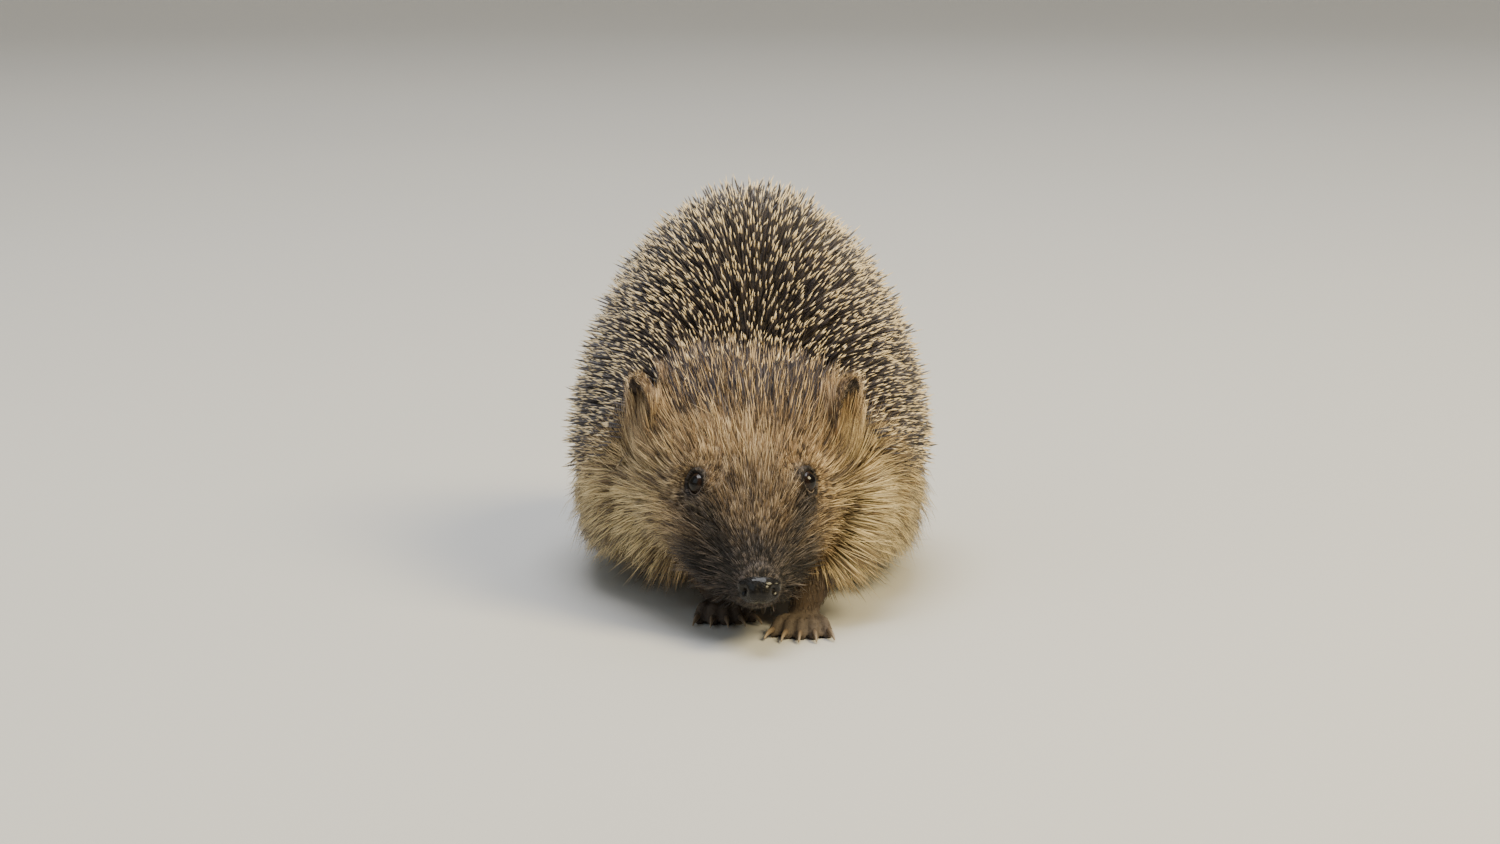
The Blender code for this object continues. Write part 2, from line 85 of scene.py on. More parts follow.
LEGS = {name: Sizes(foot=foot, heel=heel, heading=heading, top=Vector(top) * MM + SHIFT,
                    top_radius=top_radius)
        for name, foot, heel, heading, top, top_radius in (
            ("fore_left", FORE_FOOT, (18.5, -68.0), -4.0, (30.0, -50.0, 40.0), 11.0),
            ("fore_right", FORE_FOOT, (-10.5, -47.0), 6.0, (-29.0, -40.0, 40.0), 11.0),
            ("hind_left", HIND_FOOT, (29.0, 91.0), 9.0, (31.0, 62.0, 42.0), 14.0),
            ("hind_right", HIND_FOOT, (-28.0, 62.0), -8.0, (-31.0, 52.0, 42.0), 14.0))}
TOES = 5
SOLE_SINK = 0.9 * MM
BODY_PARTS = ("trunk", "neck", "head", "snout", "lower_jaw")
FLESH = [*BODY_PARTS, "tail", "ear_left", "ear_right"]
FLESH += [f"{part}_{limb}" for part in ("leg", "foot") for limb in LEGS]

SKIN_VOXEL = COAT_VOXEL = 1.5 * MM
CORE_VOXEL = 1.6 * MM
PAW_VOXEL = 0.55 * MM


# ------------------------------------------------ mesh tools

def object_of(name, mesh):
    obj = bpy.data.objects.new(name, mesh)
    bpy.context.scene.collection.objects.link(obj)
    return obj


def mesh_of(bm):
    bm.normal_update()
    bmesh.ops.recalc_face_normals(bm, faces=bm.faces)
    mesh = bpy.data.meshes.new("piece")
    bm.to_mesh(mesh)
    bm.free()
    return mesh


def modified(mesh, kind, **settings):
    """The mesh after one modifier."""
    obj = object_of("shaping", mesh)
    modifier = obj.modifiers.new("shape", kind)
    for key, value in settings.items():
        setattr(modifier, key, value)
    graph = bpy.context.evaluated_depsgraph_get()
    result = bpy.data.meshes.new_from_object(obj.evaluated_get(graph), depsgraph=graph)
    bpy.data.objects.remove(obj, do_unlink=True)
    return result


def remeshed(mesh, voxel):
    return modified(mesh, "REMESH", mode="VOXEL", voxel_size=voxel, adaptivity=0)


def united(mesh, other):
    """Both meshes as one surface."""
    partner = object_of("partner", other)
    result = modified(mesh, "BOOLEAN", operation="UNION", solver="EXACT", object=partner)
    bpy.data.objects.remove(partner, do_unlink=True)
    return result


def joined(meshes):
    bm = bmesh.new()
    for mesh in meshes:
        bm.from_mesh(mesh)
    return mesh_of(bm)


def read_rows(items, field, width, kind=float):
    """One field of every item, a row for each."""
    values = np.empty(len(items) * width, kind)
    items.foreach_get(field, values)
    return values.reshape(-1, width)


def points_of(mesh):
    return read_rows(mesh.vertices, "co", 3)


def normals_of(mesh):
    return read_rows(mesh.vertex_normals, "vector", 3)


def reshaped(mesh, points):
    """The mesh with its vertices moved."""
    mesh.vertices.foreach_set("co", np.ascontiguousarray(points).ravel())
    mesh.update()
    return mesh


def swollen(mesh, amount):
    """Moves the surface out along its normals; amount may vary by vertex."""
    return reshaped(mesh, points_of(mesh) + normals_of(mesh) * np.reshape(amount, (-1, 1)))


def grounded(mesh, level=0.0):
    """Lifts what lies below a level up to it."""
    points = points_of(mesh)
    points[:, 2] = np.maximum(points[:, 2], level)
    return reshaped(mesh, points)


def smoothed(mesh, rounds, weight=None, factor=0.5):
    """Moves each vertex part of the way to the mean of its neighbours."""
    points = points_of(mesh)
    size = len(points)
    a, b = read_rows(mesh.edges, "vertices", 2, int).T
    count = np.bincount(a, minlength=size) + np.bincount(b, minlength=size)
    share = factor if weight is None else factor * weight[:, None]
    for _ in range(rounds):
        total = np.stack([np.bincount(a, points[b, k], size) + np.bincount(b, points[a, k], size)
                          for k in range(3)], 1)
        points += (total / np.maximum(count, 1)[:, None] - points) * share
    return reshaped(mesh, points)


def circle(count):
    """Angles evenly spaced round a circle."""
    return [2 * pi * k / count for k in range(count)]


def loft(rings):
    """Closed skin over rings of equal length, capped by a fan at each end."""
    bm = bmesh.new()
    loops = [[bm.verts.new(point) for point in ring] for ring in rings]
    count = len(loops[0])
    for low, high in zip(loops, loops[1:]):
        for k in range(count):
            bm.faces.new((low[k], low[(k + 1) % count], high[(k + 1) % count], high[k]))
    for loop in (loops[0], loops[-1]):
        centre = bm.verts.new(sum((vert.co for vert in loop), Vector()) / count)
        for k in range(count):
            bm.faces.new((loop[k], loop[(k + 1) % count], centre))
    return mesh_of(bm)


def tube(line, radii, sides=20):
    """A rounded limb along a line of points."""
    def dome(end, inner, radius, turns):
        lead = (end - inner).normalized()
        return [(end + lead * radius * sin(radians(turn)),
                 radius * cos(radians(turn))) for turn in turns]

    stations = dome(line[0], line[1], radii[0], (80, 58, 36, 14))
    for i in range(len(line) - 1):
        stations += [(line[i].lerp(line[i + 1], t), radii[i] * (1 - t) + radii[i + 1] * t)
                     for t in (k / 5 for k in range(5))]
    stations += dome(line[-1], line[-2], radii[-1], (0, 20, 40, 60, 80))
    centres = [centre for centre, _ in stations]
    rings = []
    for (centre, size), before, after in zip(stations, centres[:1] + centres,
                                             centres[1:] + centres[-1:]):
        along = (after - before).normalized()
        across = (Vector((1, 0, 0)) - along * along.x).normalized()
        up = along.cross(across)
        rings.append([centre + across * size * cos(a) + up * size * sin(a)
                      for a in circle(sides)])
    return loft(rings)


def pebble(centre, half, power=2.0, sides=24, rings=14):
    """A rounded block: a ball for power 2, squarer above it."""
    def eased(value):
        return copysign(abs(value) ** (2 / power), value)

    tilts = [pi * i / rings - pi / 2 for i in range(1, rings)]
    return loft([[Vector(centre) + Vector((
        half[0] * eased(cos(tilt)) * eased(cos(turn)),
        half[1] * eased(cos(tilt)) * eased(sin(turn)),
        half[2] * eased(sin(tilt)))) for turn in circle(sides)] for tilt in tilts])


def surface_of(mesh):
    """A search tree over a mesh's surface."""
    bm = bmesh.new()
    bm.from_mesh(mesh)
    tree = BVHTree.FromBMesh(bm)
    bm.free()
    return tree


def smoothstep(value, low, high):
    t = np.clip((np.asarray(value, float) - low) / (high - low), 0, 1)
    return t * t * (3 - 2 * t)


def rise(value, low, high):
    """0 up to low and 1 from high, in millimetres."""
    return smoothstep(value, low * MM, high * MM)


def fall(value, low, high):
    """1 up to low and 0 from high, in millimetres."""
    return 1 - rise(value, low, high)


def near(points, place, reach):
    """1 at a place, easing to 0 at a distance of reach."""
    return fall(lengths(points - np.asarray(place)), 0, reach)


def bell(value, width):
    return np.exp(-(value / width) ** 2)


def lengths(vectors):
    return np.linalg.norm(vectors, axis=1)


def unit(vectors):
    return vectors / np.maximum(lengths(vectors), 1e-12)[:, None]


def waves(points, size, seed):
    """Smooth noise in -1..1 made of a few crossing waves, of about the size in millimetres."""
    rng = np.random.default_rng(seed)
    total = np.zeros(len(points))
    for octave in (1.0, 1.9, 3.3):
        for _ in range(4):
            turn = rng.normal(size=3)
            turn *= 2 * pi * octave / (size * MM) / np.linalg.norm(turn)
            total += np.sin(points @ turn + rng.uniform(0, 6.3)) / octave
    return total / 4.2


# ------------------------------------------------ the coat's outline and the flesh in it

def coat_outline():
    """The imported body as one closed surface, out to the coat's tips."""
    parts = [swollen(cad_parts[name].data.copy(), 1.3 * MM)
             for name in (*BODY_PARTS, "eye_left", "eye_right")]
    return smoothed(swollen(remeshed(joined(parts), COAT_VOXEL), -1.25 * MM), 6)


def spine_edge(y):
    """Height above which spines grow, by the place along the body."""
    return np.interp(y / MM, [-60, -57, -51, -38, -21, 0, 70, 100, 125],
                     [160, 97, 80, 63, 52, 44, 42, 36, 30]) * MM


def spine_zone(points, soft):
    """1 where spines grow, 0 where fur grows, soft by some millimetres at the boundary."""
    ragged = waves(points, 26, 5) * 3 * MM
    return rise(points[:, 2] - spine_edge(points[:, 1]) + ragged, -soft, soft)


def coat_depth(points):
    """How far the skin lies inside the coat's outline."""
    _, y, z = points.T
    fur = np.interp(y / MM, [-118, -108, -100, -92, -85, -78, -66, -56, -48, -38, -20],
                    [0.35, 0.6, 0.9, 1.2, 1.6, 2.3, 4.4, 7.0, 9.2, 10.2, 10.2])
    fur += fall(z, 34, 60) * rise(y, -96, -74) * 2.2
    for eye in EYES.values():
        fur += (1.6 - fur) * near(points, eye, 11)
    zone = spine_zone(points, 16)
    depth = fur * (1 - zone) + 12.5 * zone
    return (depth * (1 - 0.45 * fall(z, 8, 22))) * MM


outline = coat_outline()
outline_tree = surface_of(outline)


def flesh_core():
    """The body under its coat."""
    core = outline.copy()
    steps = 4
    for _ in range(steps):
        core = smoothed(swollen(core, -coat_depth(points_of(core)) / steps), 2)
        core = remeshed(core, CORE_VOXEL)
    return smoothed(core, 2)


# ------------------------------------------------ ears, legs and feet

def ear_axes(side):
    """Where an ear is rooted, and the turn of its own axes: x across, y back, z to the tip."""
    turn = Matrix.Rotation(side * EAR_SPLAY, 3, "Y") @ Matrix.Rotation(side * EAR_FACING, 3, "Z")
    return EAR_ROOT + SHIFT + Vector((side * EAR_HALF_SPACING, 0, 0)), turn


def in_ears(points):
    """For each ear, points in its own axes, and the turn of those axes."""
    for side in SIDES.values():
        root, turn = ear_axes(side)
        turn = np.asarray(turn)
        yield *((points - np.asarray(root)) @ turn).T, turn


def ear_half_width(v):
    """Half the ear's width at a share v of its height: broad and round-tipped."""
    v = np.asarray(v, float)
    top = np.sqrt(np.clip(1 - (np.clip(v - 0.58, 0, 1) / 0.42) ** 2.8, 0.03, 1))
    return EAR_HALF_WIDTH * (0.82 + 0.18 * np.sin(pi * np.clip(v, 0, 1))) * top


def ear_middle(u, v):
    """How far forwards the middle of the shell curves at a share u across and v up."""
    return -EAR_CUP * u * u * (1 - 0.35 * v) - 2.2 * MM * v * v


def ear_shell(side):
    """A cupped round-tipped ear with a rolled rim and a fold low down inside."""
    size, last = 33, 32
    root, turn = ear_axes(side)
    bm = bmesh.new()
    sheets = []
    for shift in (-0.5, 0.5):
        sheet = []
        for i, j in product(range(size), repeat=2):
            u, v = 2 * j / last - 1, i / last
            border = max(abs(u), v)
            edge = 1 + 0.5 * exp(-((border - 0.9) / 0.07) ** 2)
            edge *= 1 - 0.8 * max(border - 0.93, 0) / 0.07
            y = float(ear_middle(u, v)) + shift * EAR_THICKNESS * edge
            if shift < 0:
                y -= 1.1 * MM * exp(-((u + 0.35) / 0.13) ** 2 - ((v - 0.42) / 0.2) ** 2)
            place = Vector((float(ear_half_width(v)) * u, y, EAR_HEIGHT * v))
            sheet.append(bm.verts.new(root + turn @ place))
        sheets.append(sheet)
        for i, j in product(range(last), repeat=2):
            a = i * size + j
            bm.faces.new([sheet[k] for k in (a, a + 1, a + size + 1, a + size)])
    inner, outer = sheets
    rim = [*range(size), *(i * size + last for i in range(1, size)),
           *(last * size + j for j in range(last - 1, -1, -1)),
           *(i * size for i in range(last - 1, 0, -1))]
    for a, b in zip(rim, rim[1:] + rim[:1]):
        bm.faces.new((inner[a], inner[b], outer[b], outer[a]))
    return mesh_of(bm)


def foot_place(leg):
    """Takes a point in a foot's own axes, toes to -Y and heel at the origin, to its place."""
    heel = Vector((leg.heel[0] * MM, leg.heel[1] * MM, 0)) + Vector((SHIFT.x, SHIFT.y, 0))
    return Matrix.Translation(heel) @ Matrix.Rotation(radians(leg.heading), 4, "Z")


def ankle_of(foot):
    """The ankle in the foot's own axes."""
    return Vector((0, -foot.ankle_radius, foot.height * 0.62))


def toe_line(foot, number):
    """Root, knuckle and tip of a toe in the foot's own axes."""
    offset = number - (TOES - 1) / 2
    fan = radians(foot.fan) * offset
    root = Vector((0.78 * foot.half_width * offset / 2,
                   -(foot.length - foot.toe_length * 1.35) * (1 - 0.055 * offset * offset),
                   4.2 * MM))
    along = Vector((sin(fan), -cos(fan), 0))
    knuckle = root + along * foot.toe_length * 0.55 + Vector((0, 0, -0.2 * MM))
    tip = root + along * foot.toe_length * 1.05
    tip.z = foot.toe_radius - SOLE_SINK * 0.75
    return root, knuckle, tip


def foot_shape(leg):
    """One paw: sole, instep, ankle, pads, and five toes with raised knuckles."""
    foot = leg.foot
    width, height = foot.half_width, foot.height
    palm_y = -(foot.length - foot.toe_length)
    ankle = ankle_of(foot)
    above = ankle + (foot_place(leg).inverted() @ leg.top - ankle) * 0.6
    pieces = [
        pebble((0, palm_y * 0.52, height * 0.42 - SOLE_SINK * 0.5),
               (width * 0.88, -palm_y * 0.58, height * 0.48), 2.5),
        pebble((0, palm_y * 0.86, height * 0.34 - SOLE_SINK * 0.5),
               (width * 0.96, foot.length * 0.18, height * 0.40), 2.4),
        tube([ankle, (ankle + above) / 2, above], [foot.ankle_radius * 0.94] * 3),
    ]
    for pad_x in (-0.5, 0.0, 0.5):
        pieces.append(pebble((width * pad_x, palm_y * (0.98 - abs(pad_x) * 0.2), 1.0 * MM),
                             (width * 0.27, 2.2 * MM, 1.6 * MM)))
    radius = foot.toe_radius * 0.95
    drop = Vector((0, 0, radius * 0.35))
    for number in range(TOES):
        line = toe_line(foot, number)
        pieces += [tube(line, [radius * 0.92, radius * 1.02, radius * 0.92], 16),
                   pebble(line[1] + drop, [radius * 0.82] * 3),
                   pebble(line[2] - drop, (radius * 0.95, radius * 1.05, radius * 0.75))]
    paw = smoothed(remeshed(joined(pieces), PAW_VOXEL), 3)
    paw.transform(foot_place(leg))
    return grounded(paw)


def leg_shape(leg):
    ankle = foot_place(leg) @ ankle_of(leg.foot)
    return tube([leg.top, leg.top.lerp(ankle, 0.45), ankle],
                (leg.top_radius * 0.92 * MM, leg.top_radius * 0.72 * MM,
                 leg.foot.ankle_radius * 0.96),
                sides=24)


def tail_shape():
    root = TAIL_ROOT - (TAIL_TIP - TAIL_ROOT) * 0.35
    end = TAIL_TIP - (TAIL_TIP - root).normalized() * 2 * MM
    return tube([root, root.lerp(TAIL_TIP, 0.6), end], [6.5 * MM, 4.0 * MM, 1.6 * MM])


def split_faces(mesh, chosen):
    """Divides the edges whose both ends are chosen."""
    bm = bmesh.new()
    bm.from_mesh(mesh)
    edges = [edge for edge in bm.edges if all(chosen[vert.index] for vert in edge.verts)]
    bmesh.ops.subdivide_edges(bm, edges=edges, cuts=1, use_grid_fill=True)
    return mesh_of(bm)


def settled(mesh, tree, weight, reach=3 * MM):
    """Moves vertices onto a finer surface nearby, by weight."""
    points = points_of(mesh)
    for i in np.nonzero(weight > 0.01)[0]:
        place = tree.find_nearest(points[i], reach)[0]
        if place is not None:
            points[i] += (np.asarray(place) - points[i]) * weight[i]
    return reshaped(mesh, points)


# ------------------------------------------------ lids, muzzle and mouth

def eye_facing(sign):
    turn = EYE_TURN * sign + HEAD_YAW
    return Vector((sin(turn) * cos(EYE_TILT), -cos(turn) * cos(EYE_TILT),
                   sin(EYE_TILT)))


EYE_FACING = {side: eye_facing(sign) for side, sign in SIDES.items()}


def from_eye(points, side):
    """Offsets from an eye's middle, heights along its gaze, and what is left across it."""
    facing = np.asarray(EYE_FACING[side])
    away = points - np.asarray(EYES[side])
    height = away @ facing
    return away, height, away - height[:, None] * facing


def eye_clearance(points):
    """Distance to the nearest eye's middle and the direction away from it."""
    left, right = (from_eye(points, side)[0] for side in EYES)
    away = np.where((lengths(right) < lengths(left))[:, None], right, left)
    return lengths(away), unit(away)


def with_lids(points):
    """Draws the skin up into a rim round each eye and sinks what lies behind the ball."""
    for side, facing in EYE_FACING.items():
        away, height, across = from_eye(points, side)
        radius = lengths(across)
        upright = np.asarray(Vector((0, 0, 1)) - facing * facing.z)
        upright /= np.linalg.norm(upright)
        rising = np.where(radius > 1e-9, across @ upright / np.maximum(radius, 1e-9), 0)
        beyond = radius - LID_RADIUS * (1 - 0.05 * np.abs(rising))
        rim = LID_HEIGHT + 0.25 * MM * np.maximum(rising, 0)
        crease = 0.28 * MM * bell(beyond - 1.7 * MM, 0.42 * MM)
        lip = 0.22 * MM * bell(beyond - 0.45 * MM, 0.45 * MM)
        lifted = height + (rim - height) * fall(beyond, 0.3, 4.6) - crease + lip
        sunk = np.sqrt(np.maximum((EYE_RADIUS - 0.55 * MM) ** 2 - radius ** 2, 0)) * 0.55
        target = lifted + (sunk - lifted) * fall(beyond, -0.55, 0.12)
        close = (lengths(away) < 11 * MM) & (height > -3 * MM)
        moved = np.where(close, target - height, 0) * fall(radius, 7.5, 9.5)
        points = points + moved[:, None] * np.asarray(facing)
    return points


def distance_to_line(points, line):
    """Distance to a line of points, and how far along it the nearest place is."""
    best = np.full(len(points), 1e9)
    share = np.zeros(len(points))
    for i, (a, b) in enumerate(zip(line, line[1:])):
        a, b = np.asarray(a, float), np.asarray(b, float)
        t = np.clip((points - a) @ (b - a) / ((b - a) @ (b - a)), 0, 1)
        distance = lengths(points - a - t[:, None] * (b - a))
        closer = distance < best
        best = np.where(closer, distance, best)
        share = np.where(closer, (i + t) / (len(line) - 1), share)
    return best, share


# The line of the lips from under the nose to the corner: aside, along the body and up.
MOUTH = [(0.0, -110.2, 17.6), (3.2, -108.6, 17.2), (6.2, -104.0, 17.0), (9.0, -98.0, 17.6),
         (12.2, -91.0, 19.0)]


def with_mouth(points, normals):
    """Presses the line of the lips into the snout and the groove under the nose."""
    def pushed(points, amount):
        return points + normals * (amount * MM)[:, None]

    for sign in (1, -1):
        line = [(NOSE.x - 0.3 * MM + sign * x * MM - (y + 110.2) * 0.08 * MM,
                 y * MM + SHIFT.y, z * MM) for x, y, z in MOUTH]
        distance, share = distance_to_line(points, line)
        points = pushed(points, -0.75 * (1 - 0.55 * share) * bell(distance, 0.62 * MM))
    nose = np.asarray(NOSE)
    groove = [nose + (0, 1 * MM, -4 * MM), (NOSE.x - 0.2 * MM, NOSE.y + 3.2 * MM, 17.4 * MM)]
    points = pushed(points, -0.6 * bell(distance_to_line(points, groove)[0], 0.55 * MM))
    for sign in (1, -1):
        pad = nose + (sign * 5.4 * MM, 7.5 * MM, -1.5 * MM)
        points = pushed(points, 0.55 * near(points, pad, 6))
        wing = nose + (sign * 5.2 * MM, 2.6 * MM, 1.2 * MM)
        points = pushed(points, 0.6 * near(points, wing, 2.6))
    return points


def hedgehog_skin():
    """Body, head, ears, legs, feet and tail as one skin, finer at the face, ears and feet."""
    def foot_zone():
        return fall(points_of(skin)[:, 2], 7.5, 10)

    def near_eyes(reach):
        return eye_clearance(points_of(skin))[0] < reach * MM

    feet = [foot_shape(leg) for leg in LEGS.values()]
    legs = [leg_shape(leg) for leg in LEGS.values()]
    muzzle = tube([Vector(place) * MM + SHIFT for place in
                   ((1.0, -88, 28), (2.2, -100, 25.2), (3.1, -109.6, 22.7))],
                  [11.5 * MM, 8.8 * MM, 6.1 * MM], sides=28)
    skin = remeshed(joined([flesh_core(), muzzle, tail_shape(), *feet, *legs]), SKIN_VOXEL)
    skin = smoothed(skin, 3, 1 - foot_zone())
    for sign in SIDES.values():
        skin = united(skin, ear_shell(sign))

    _, y, z = points_of(skin).T
    skin = split_faces(skin, (y < -70 * MM) | (z < 9.5 * MM))
    skin = split_faces(skin, (points_of(skin)[:, 1] < -101 * MM) | near_eyes(8.5))
    skin = split_faces(skin, near_eyes(6.2))

    _, y, z = points_of(skin).T
    skin = smoothed(skin, 6, rise(-y, 66, 74) * rise(z, 9.5, 13))
    skin = settled(skin, surface_of(joined(feet)), foot_zone())

    at_root = np.zeros(len(skin.vertices))
    for x, y, z, _ in in_ears(points_of(skin)):
        close = np.maximum(np.abs(x) - 6 * MM, np.abs(y) - 3 * MM)
        at_root = np.maximum(at_root, fall(close, 3, 7) * fall(np.abs(z - 8 * MM), 0, 5))
    skin = smoothed(skin, 5, at_root, 0.35)
    return grounded(reshaped(skin, with_lids(with_mouth(points_of(skin), normals_of(skin)))))


# ------------------------------------------------ eyes, nose and claws

def eyeball(side):
    """A ball with a low cornea bulging towards where the eye looks."""
    turn = EYE_FACING[side].to_track_quat("Z", "Y").to_matrix()
    rings = []
    for tilt in (pi * i / 40 for i in range(1, 40)):
        swell = 0.10 * MM * exp(-(tilt / 0.55) ** 2)
        radius = EYE_RADIUS - 0.05 * MM + swell
        rings.append([EYES[side] + turn @ Vector((
            sin(tilt) * cos(a), sin(tilt) * sin(a), cos(tilt))) * radius
            for a in circle(56)])
    return loft(rings)


def nose_pad():
    """The moist pad: a side-slit nostril in each flank, a groove down its front."""
    pad = pebble(NOSE, (7.3 * MM, 4.5 * MM, 4.9 * MM), 2.1, 72, 44)
    points = points_of(pad) - np.asarray(NOSE)
    x, y, z = points.T / MM
    side = np.abs(x)
    wing = bell(np.hypot((side - 6.6) / 1.2, (z - 2.3) / 1.1), 1)
    bulb = bell(np.hypot((side - 1.3) / 2.2, (z + 0.9) / 2.6), 1) * (y < 0)
    nostril = bell(np.hypot((side - 5.5) / 1.15, (z - 0.1) / 1.7), 1) * (y < 1.5)
    slit = bell(np.hypot((y + 0.2) / 2.2, (z + 1.3 + 0.3 * y) / 0.6), 1) * (side > 5.4)
    groove = bell(x, 0.45) * (y < 0.5) * smoothstep(-z, -3.5, 0.5)
    amount = 0.7 * wing + 0.9 * bulb - 2.3 * nostril - 1.0 * slit - 0.4 * groove
    amount += 0.07 * waves(points, 1.6, 3)
    return swollen(pad, amount * MM)


def claw(leg, number):
    """A curved claw, round above and channelled below, its root sunk in the toe."""
    foot = leg.foot
    _, knuckle, tip = toe_line(foot, number)
    along = tip - knuckle
    along.z = 0
    along.normalize()
    place = tip + along * foot.toe_radius * 0.35
    place.z = tip.z + 0.75 * MM
    side = Vector((along.y, -along.x, 0))
    steps, heading = 16, -0.10
    reach = foot.claw_length + foot.toe_radius * 0.55
    rings = []
    for t in (i / (steps - 1) for i in range(steps)):
        radius = 1.02 * MM * (1 - t) ** 0.62 + 0.16 * MM
        direction = along * cos(heading) + Vector((0, 0, -sin(heading)))
        up = side.cross(direction)
        ring = []
        for a in circle(14):
            lower = max(-sin(a), 0)
            ring.append(place + side * radius * (0.80 - 0.15 * lower) * cos(a)
                        + up * radius * (1.12 - 0.35 * lower) * sin(a))
        rings.append(ring)
        heading += radians(50) / steps * (0.55 + t)
        place = place + direction * reach / (steps - 1)
    mesh = loft(rings)
    mesh.transform(foot_place(leg))
    return grounded(mesh, 0.15 * MM)


# ------------------------------------------------ markings and the lie of the coat

# The middle of the dark mask, from in front of an eye down to the side of the nose.
MASK_LINE = [(18.0 * MM, -82 * MM, 50 * MM), (14.5 * MM, -88 * MM, 42 * MM),
             (10.0 * MM, -98 * MM, 32 * MM), (6.5 * MM, -108 * MM, 25 * MM)]


def markings(points):
    """How dark, how straw-coloured and how grey-brown the animal is at each place; on the right side
    painted shade widens the dark mask.
    """
    x, y, z = points[:, 0] - SHIFT.x, points[:, 1] - SHIFT.y, points[:, 2]
    middle_x = 0.8 * MM - (y + 82 * MM) * 0.07
    aside = np.abs(x - middle_x)
    mask, _ = distance_to_line(np.stack([aside, y, z], 1), MASK_LINE)
    patchy = waves(points, 13, 11)
    # The dark mask is real; on the right side, turned from the key light, it reaches 4 mm further,
    # and that extra width is painted shade.
    reach = np.where(x < middle_x, 13.5 * MM, 9.5 * MM) + 1.5 * MM * patchy
    dark = (1 - smoothstep(mask, 1.5 * MM, reach)) * 0.97
    snout = 0.56 * rise(-y, 76, 93) + 0.27 * rise(-y, 97, 107)
    jowl = fall(z, 24, 44) * rise(-y, 70, 88)
    hollow = ear_hollow(points)
    for share in (snout + 0.50 * jowl + 0.10 * patchy,
                  fall(eye_clearance(points)[0], 4.4, 6.6), hollow):
        dark = np.maximum(dark, share)
    low = fall(z + 5 * MM * waves(points, 30, 21), 34, 66)
    straw = rise(aside, 14, 34) * rise(y, -92, -72) * low
    under = fall(z, 18, 27) * rise(y, -86, -76)
    limb = np.maximum(under * limb_zone(points), fall(z, 7, 11))
    return np.stack([np.clip(dark, 0, 1), straw * (1 - hollow), limb], 1)


def ear_hollow(points):
    """1 inside the cup of an ear, little on its back, 0 elsewhere."""
    dark = np.zeros(len(points))
    for x, y, z, _ in in_ears(points):
        v = np.clip(z / EAR_HEIGHT, 0, 1)
        u = x / ear_half_width(v)
        ahead = y - ear_middle(np.clip(u, -1.2, 1.2), v)
        on = (np.abs(u) < 1.15) & (np.abs(ahead) < 2.4 * MM) & (z > 8 * MM) & (z < 29 * MM)
        rim = smoothstep(np.maximum(np.abs(u), v), 0.86, 0.98)
        dark = np.maximum(dark, on * (0.15 + 0.85 * fall(ahead, -0.5, 0.3)) * (1 - 0.6 * rim))
    return dark


def ear_surround(points):
    """1 on the skin close round the root of an ear, and the way up along that ear."""
    about = np.zeros(len(points))
    upward = np.zeros_like(points)
    for x, y, z, turn in in_ears(points):
        gap = np.hypot(np.maximum(np.abs(x) - 5 * MM, 0), y + 1.5 * MM)
        share = fall(gap, 3, 10) * ((z > -12 * MM) & (z < 16 * MM))
        lead = turn @ Vector((0, 0.10, 1)).normalized()
        upward = np.where((share > about)[:, None], lead, upward)
        about = np.maximum(about, share)
    return about, upward


def ear_zone(points, low=8):
    """1 on the standing part of the ears, and the direction towards each ear's tip."""
    zone = np.zeros(len(points))
    upward = np.zeros_like(points)
    for x, y, z, turn in in_ears(points):
        inside = ((np.abs(x) < 11.5 * MM) & (y > -8 * MM) & (y < 3 * MM)
                  & (z > low * MM) & (z < 30 * MM))
        spread = np.stack([x * 0.6, x * 0, np.full(len(x), 8 * MM)], 1)
        upward = np.where(inside[:, None], spread @ turn.T, upward)
        zone = np.maximum(zone, inside)
    return zone, upward


def limb_zone(points):
    """1 on the legs and feet."""
    zone = np.zeros(len(points))
    for leg in LEGS.values():
        place = foot_place(leg)
        shin, _ = distance_to_line(points, [place @ ankle_of(leg.foot), leg.top])
        toes = place @ Vector((0, -leg.foot.length * 0.8, 0))
        sole, _ = distance_to_line(points, [place @ Vector((0, 0, 0)), toes])
        zone = np.maximum(zone, fall(shin, 11, 14))
        zone = np.maximum(zone, fall(sole, 13, 16) * fall(points[:, 2], 8.5, 12))
    return zone


def lower_limb(points, top=29):
    """1 on the legs below the skirt of fur."""
    return limb_zone(points) * fall(points[:, 2], 20, top)


def on_tail(points):
    return (distance_to_line(points, [TAIL_ROOT, TAIL_TIP])[0] < 7 * MM) & (
        points[:, 1] > 96 * MM)


def flattened(vectors, normals):
    """What is left of vectors along the skin."""
    return vectors - normals * (vectors * normals).sum(1)[:, None]


def combed(points, normals, spiny):
    """The way the coat lies at each root, along the skin."""
    x, y, z = points.T
    face = unit(points - np.asarray(NOSE + Vector((0, -2 * MM, -1 * MM))))
    face[:, 2] -= 0.85 * (fall(z, 26, 62) * rise(y, -92, -70))
    flank = unit(np.stack([np.clip(x / (60 * MM), -1, 1) * 0.45, 0 * x + 0.55, 0 * x - 1.0], 1))
    rear = rise(y, -46, 6)[:, None]
    lie = face * (1 - rear) + flank * rear
    if spiny:
        lie = unit(np.stack([x * 2.0, 0 * x + 0.9, 0 * x - 0.25], 1))
    limb = lower_limb(points, 30)[:, None]
    on_foot = fall(z, 7.5, 10)[:, None]
    down, toes = np.array((0, -0.25, -1)), np.array((0, -1, -0.15))
    lie = lie * (1 - limb) + (down * (1 - on_foot) + toes * on_foot) * limb
    on_ear, upward = ear_zone(points)
    lie = np.where(on_ear[:, None] > 0.5, unit(upward), lie)
    backward = np.asarray((TAIL_TIP - TAIL_ROOT).normalized())
    lie = np.where(on_tail(points)[:, None], backward, lie)
    return unit(flattened(lie, normals))


# ------------------------------------------------ the coat

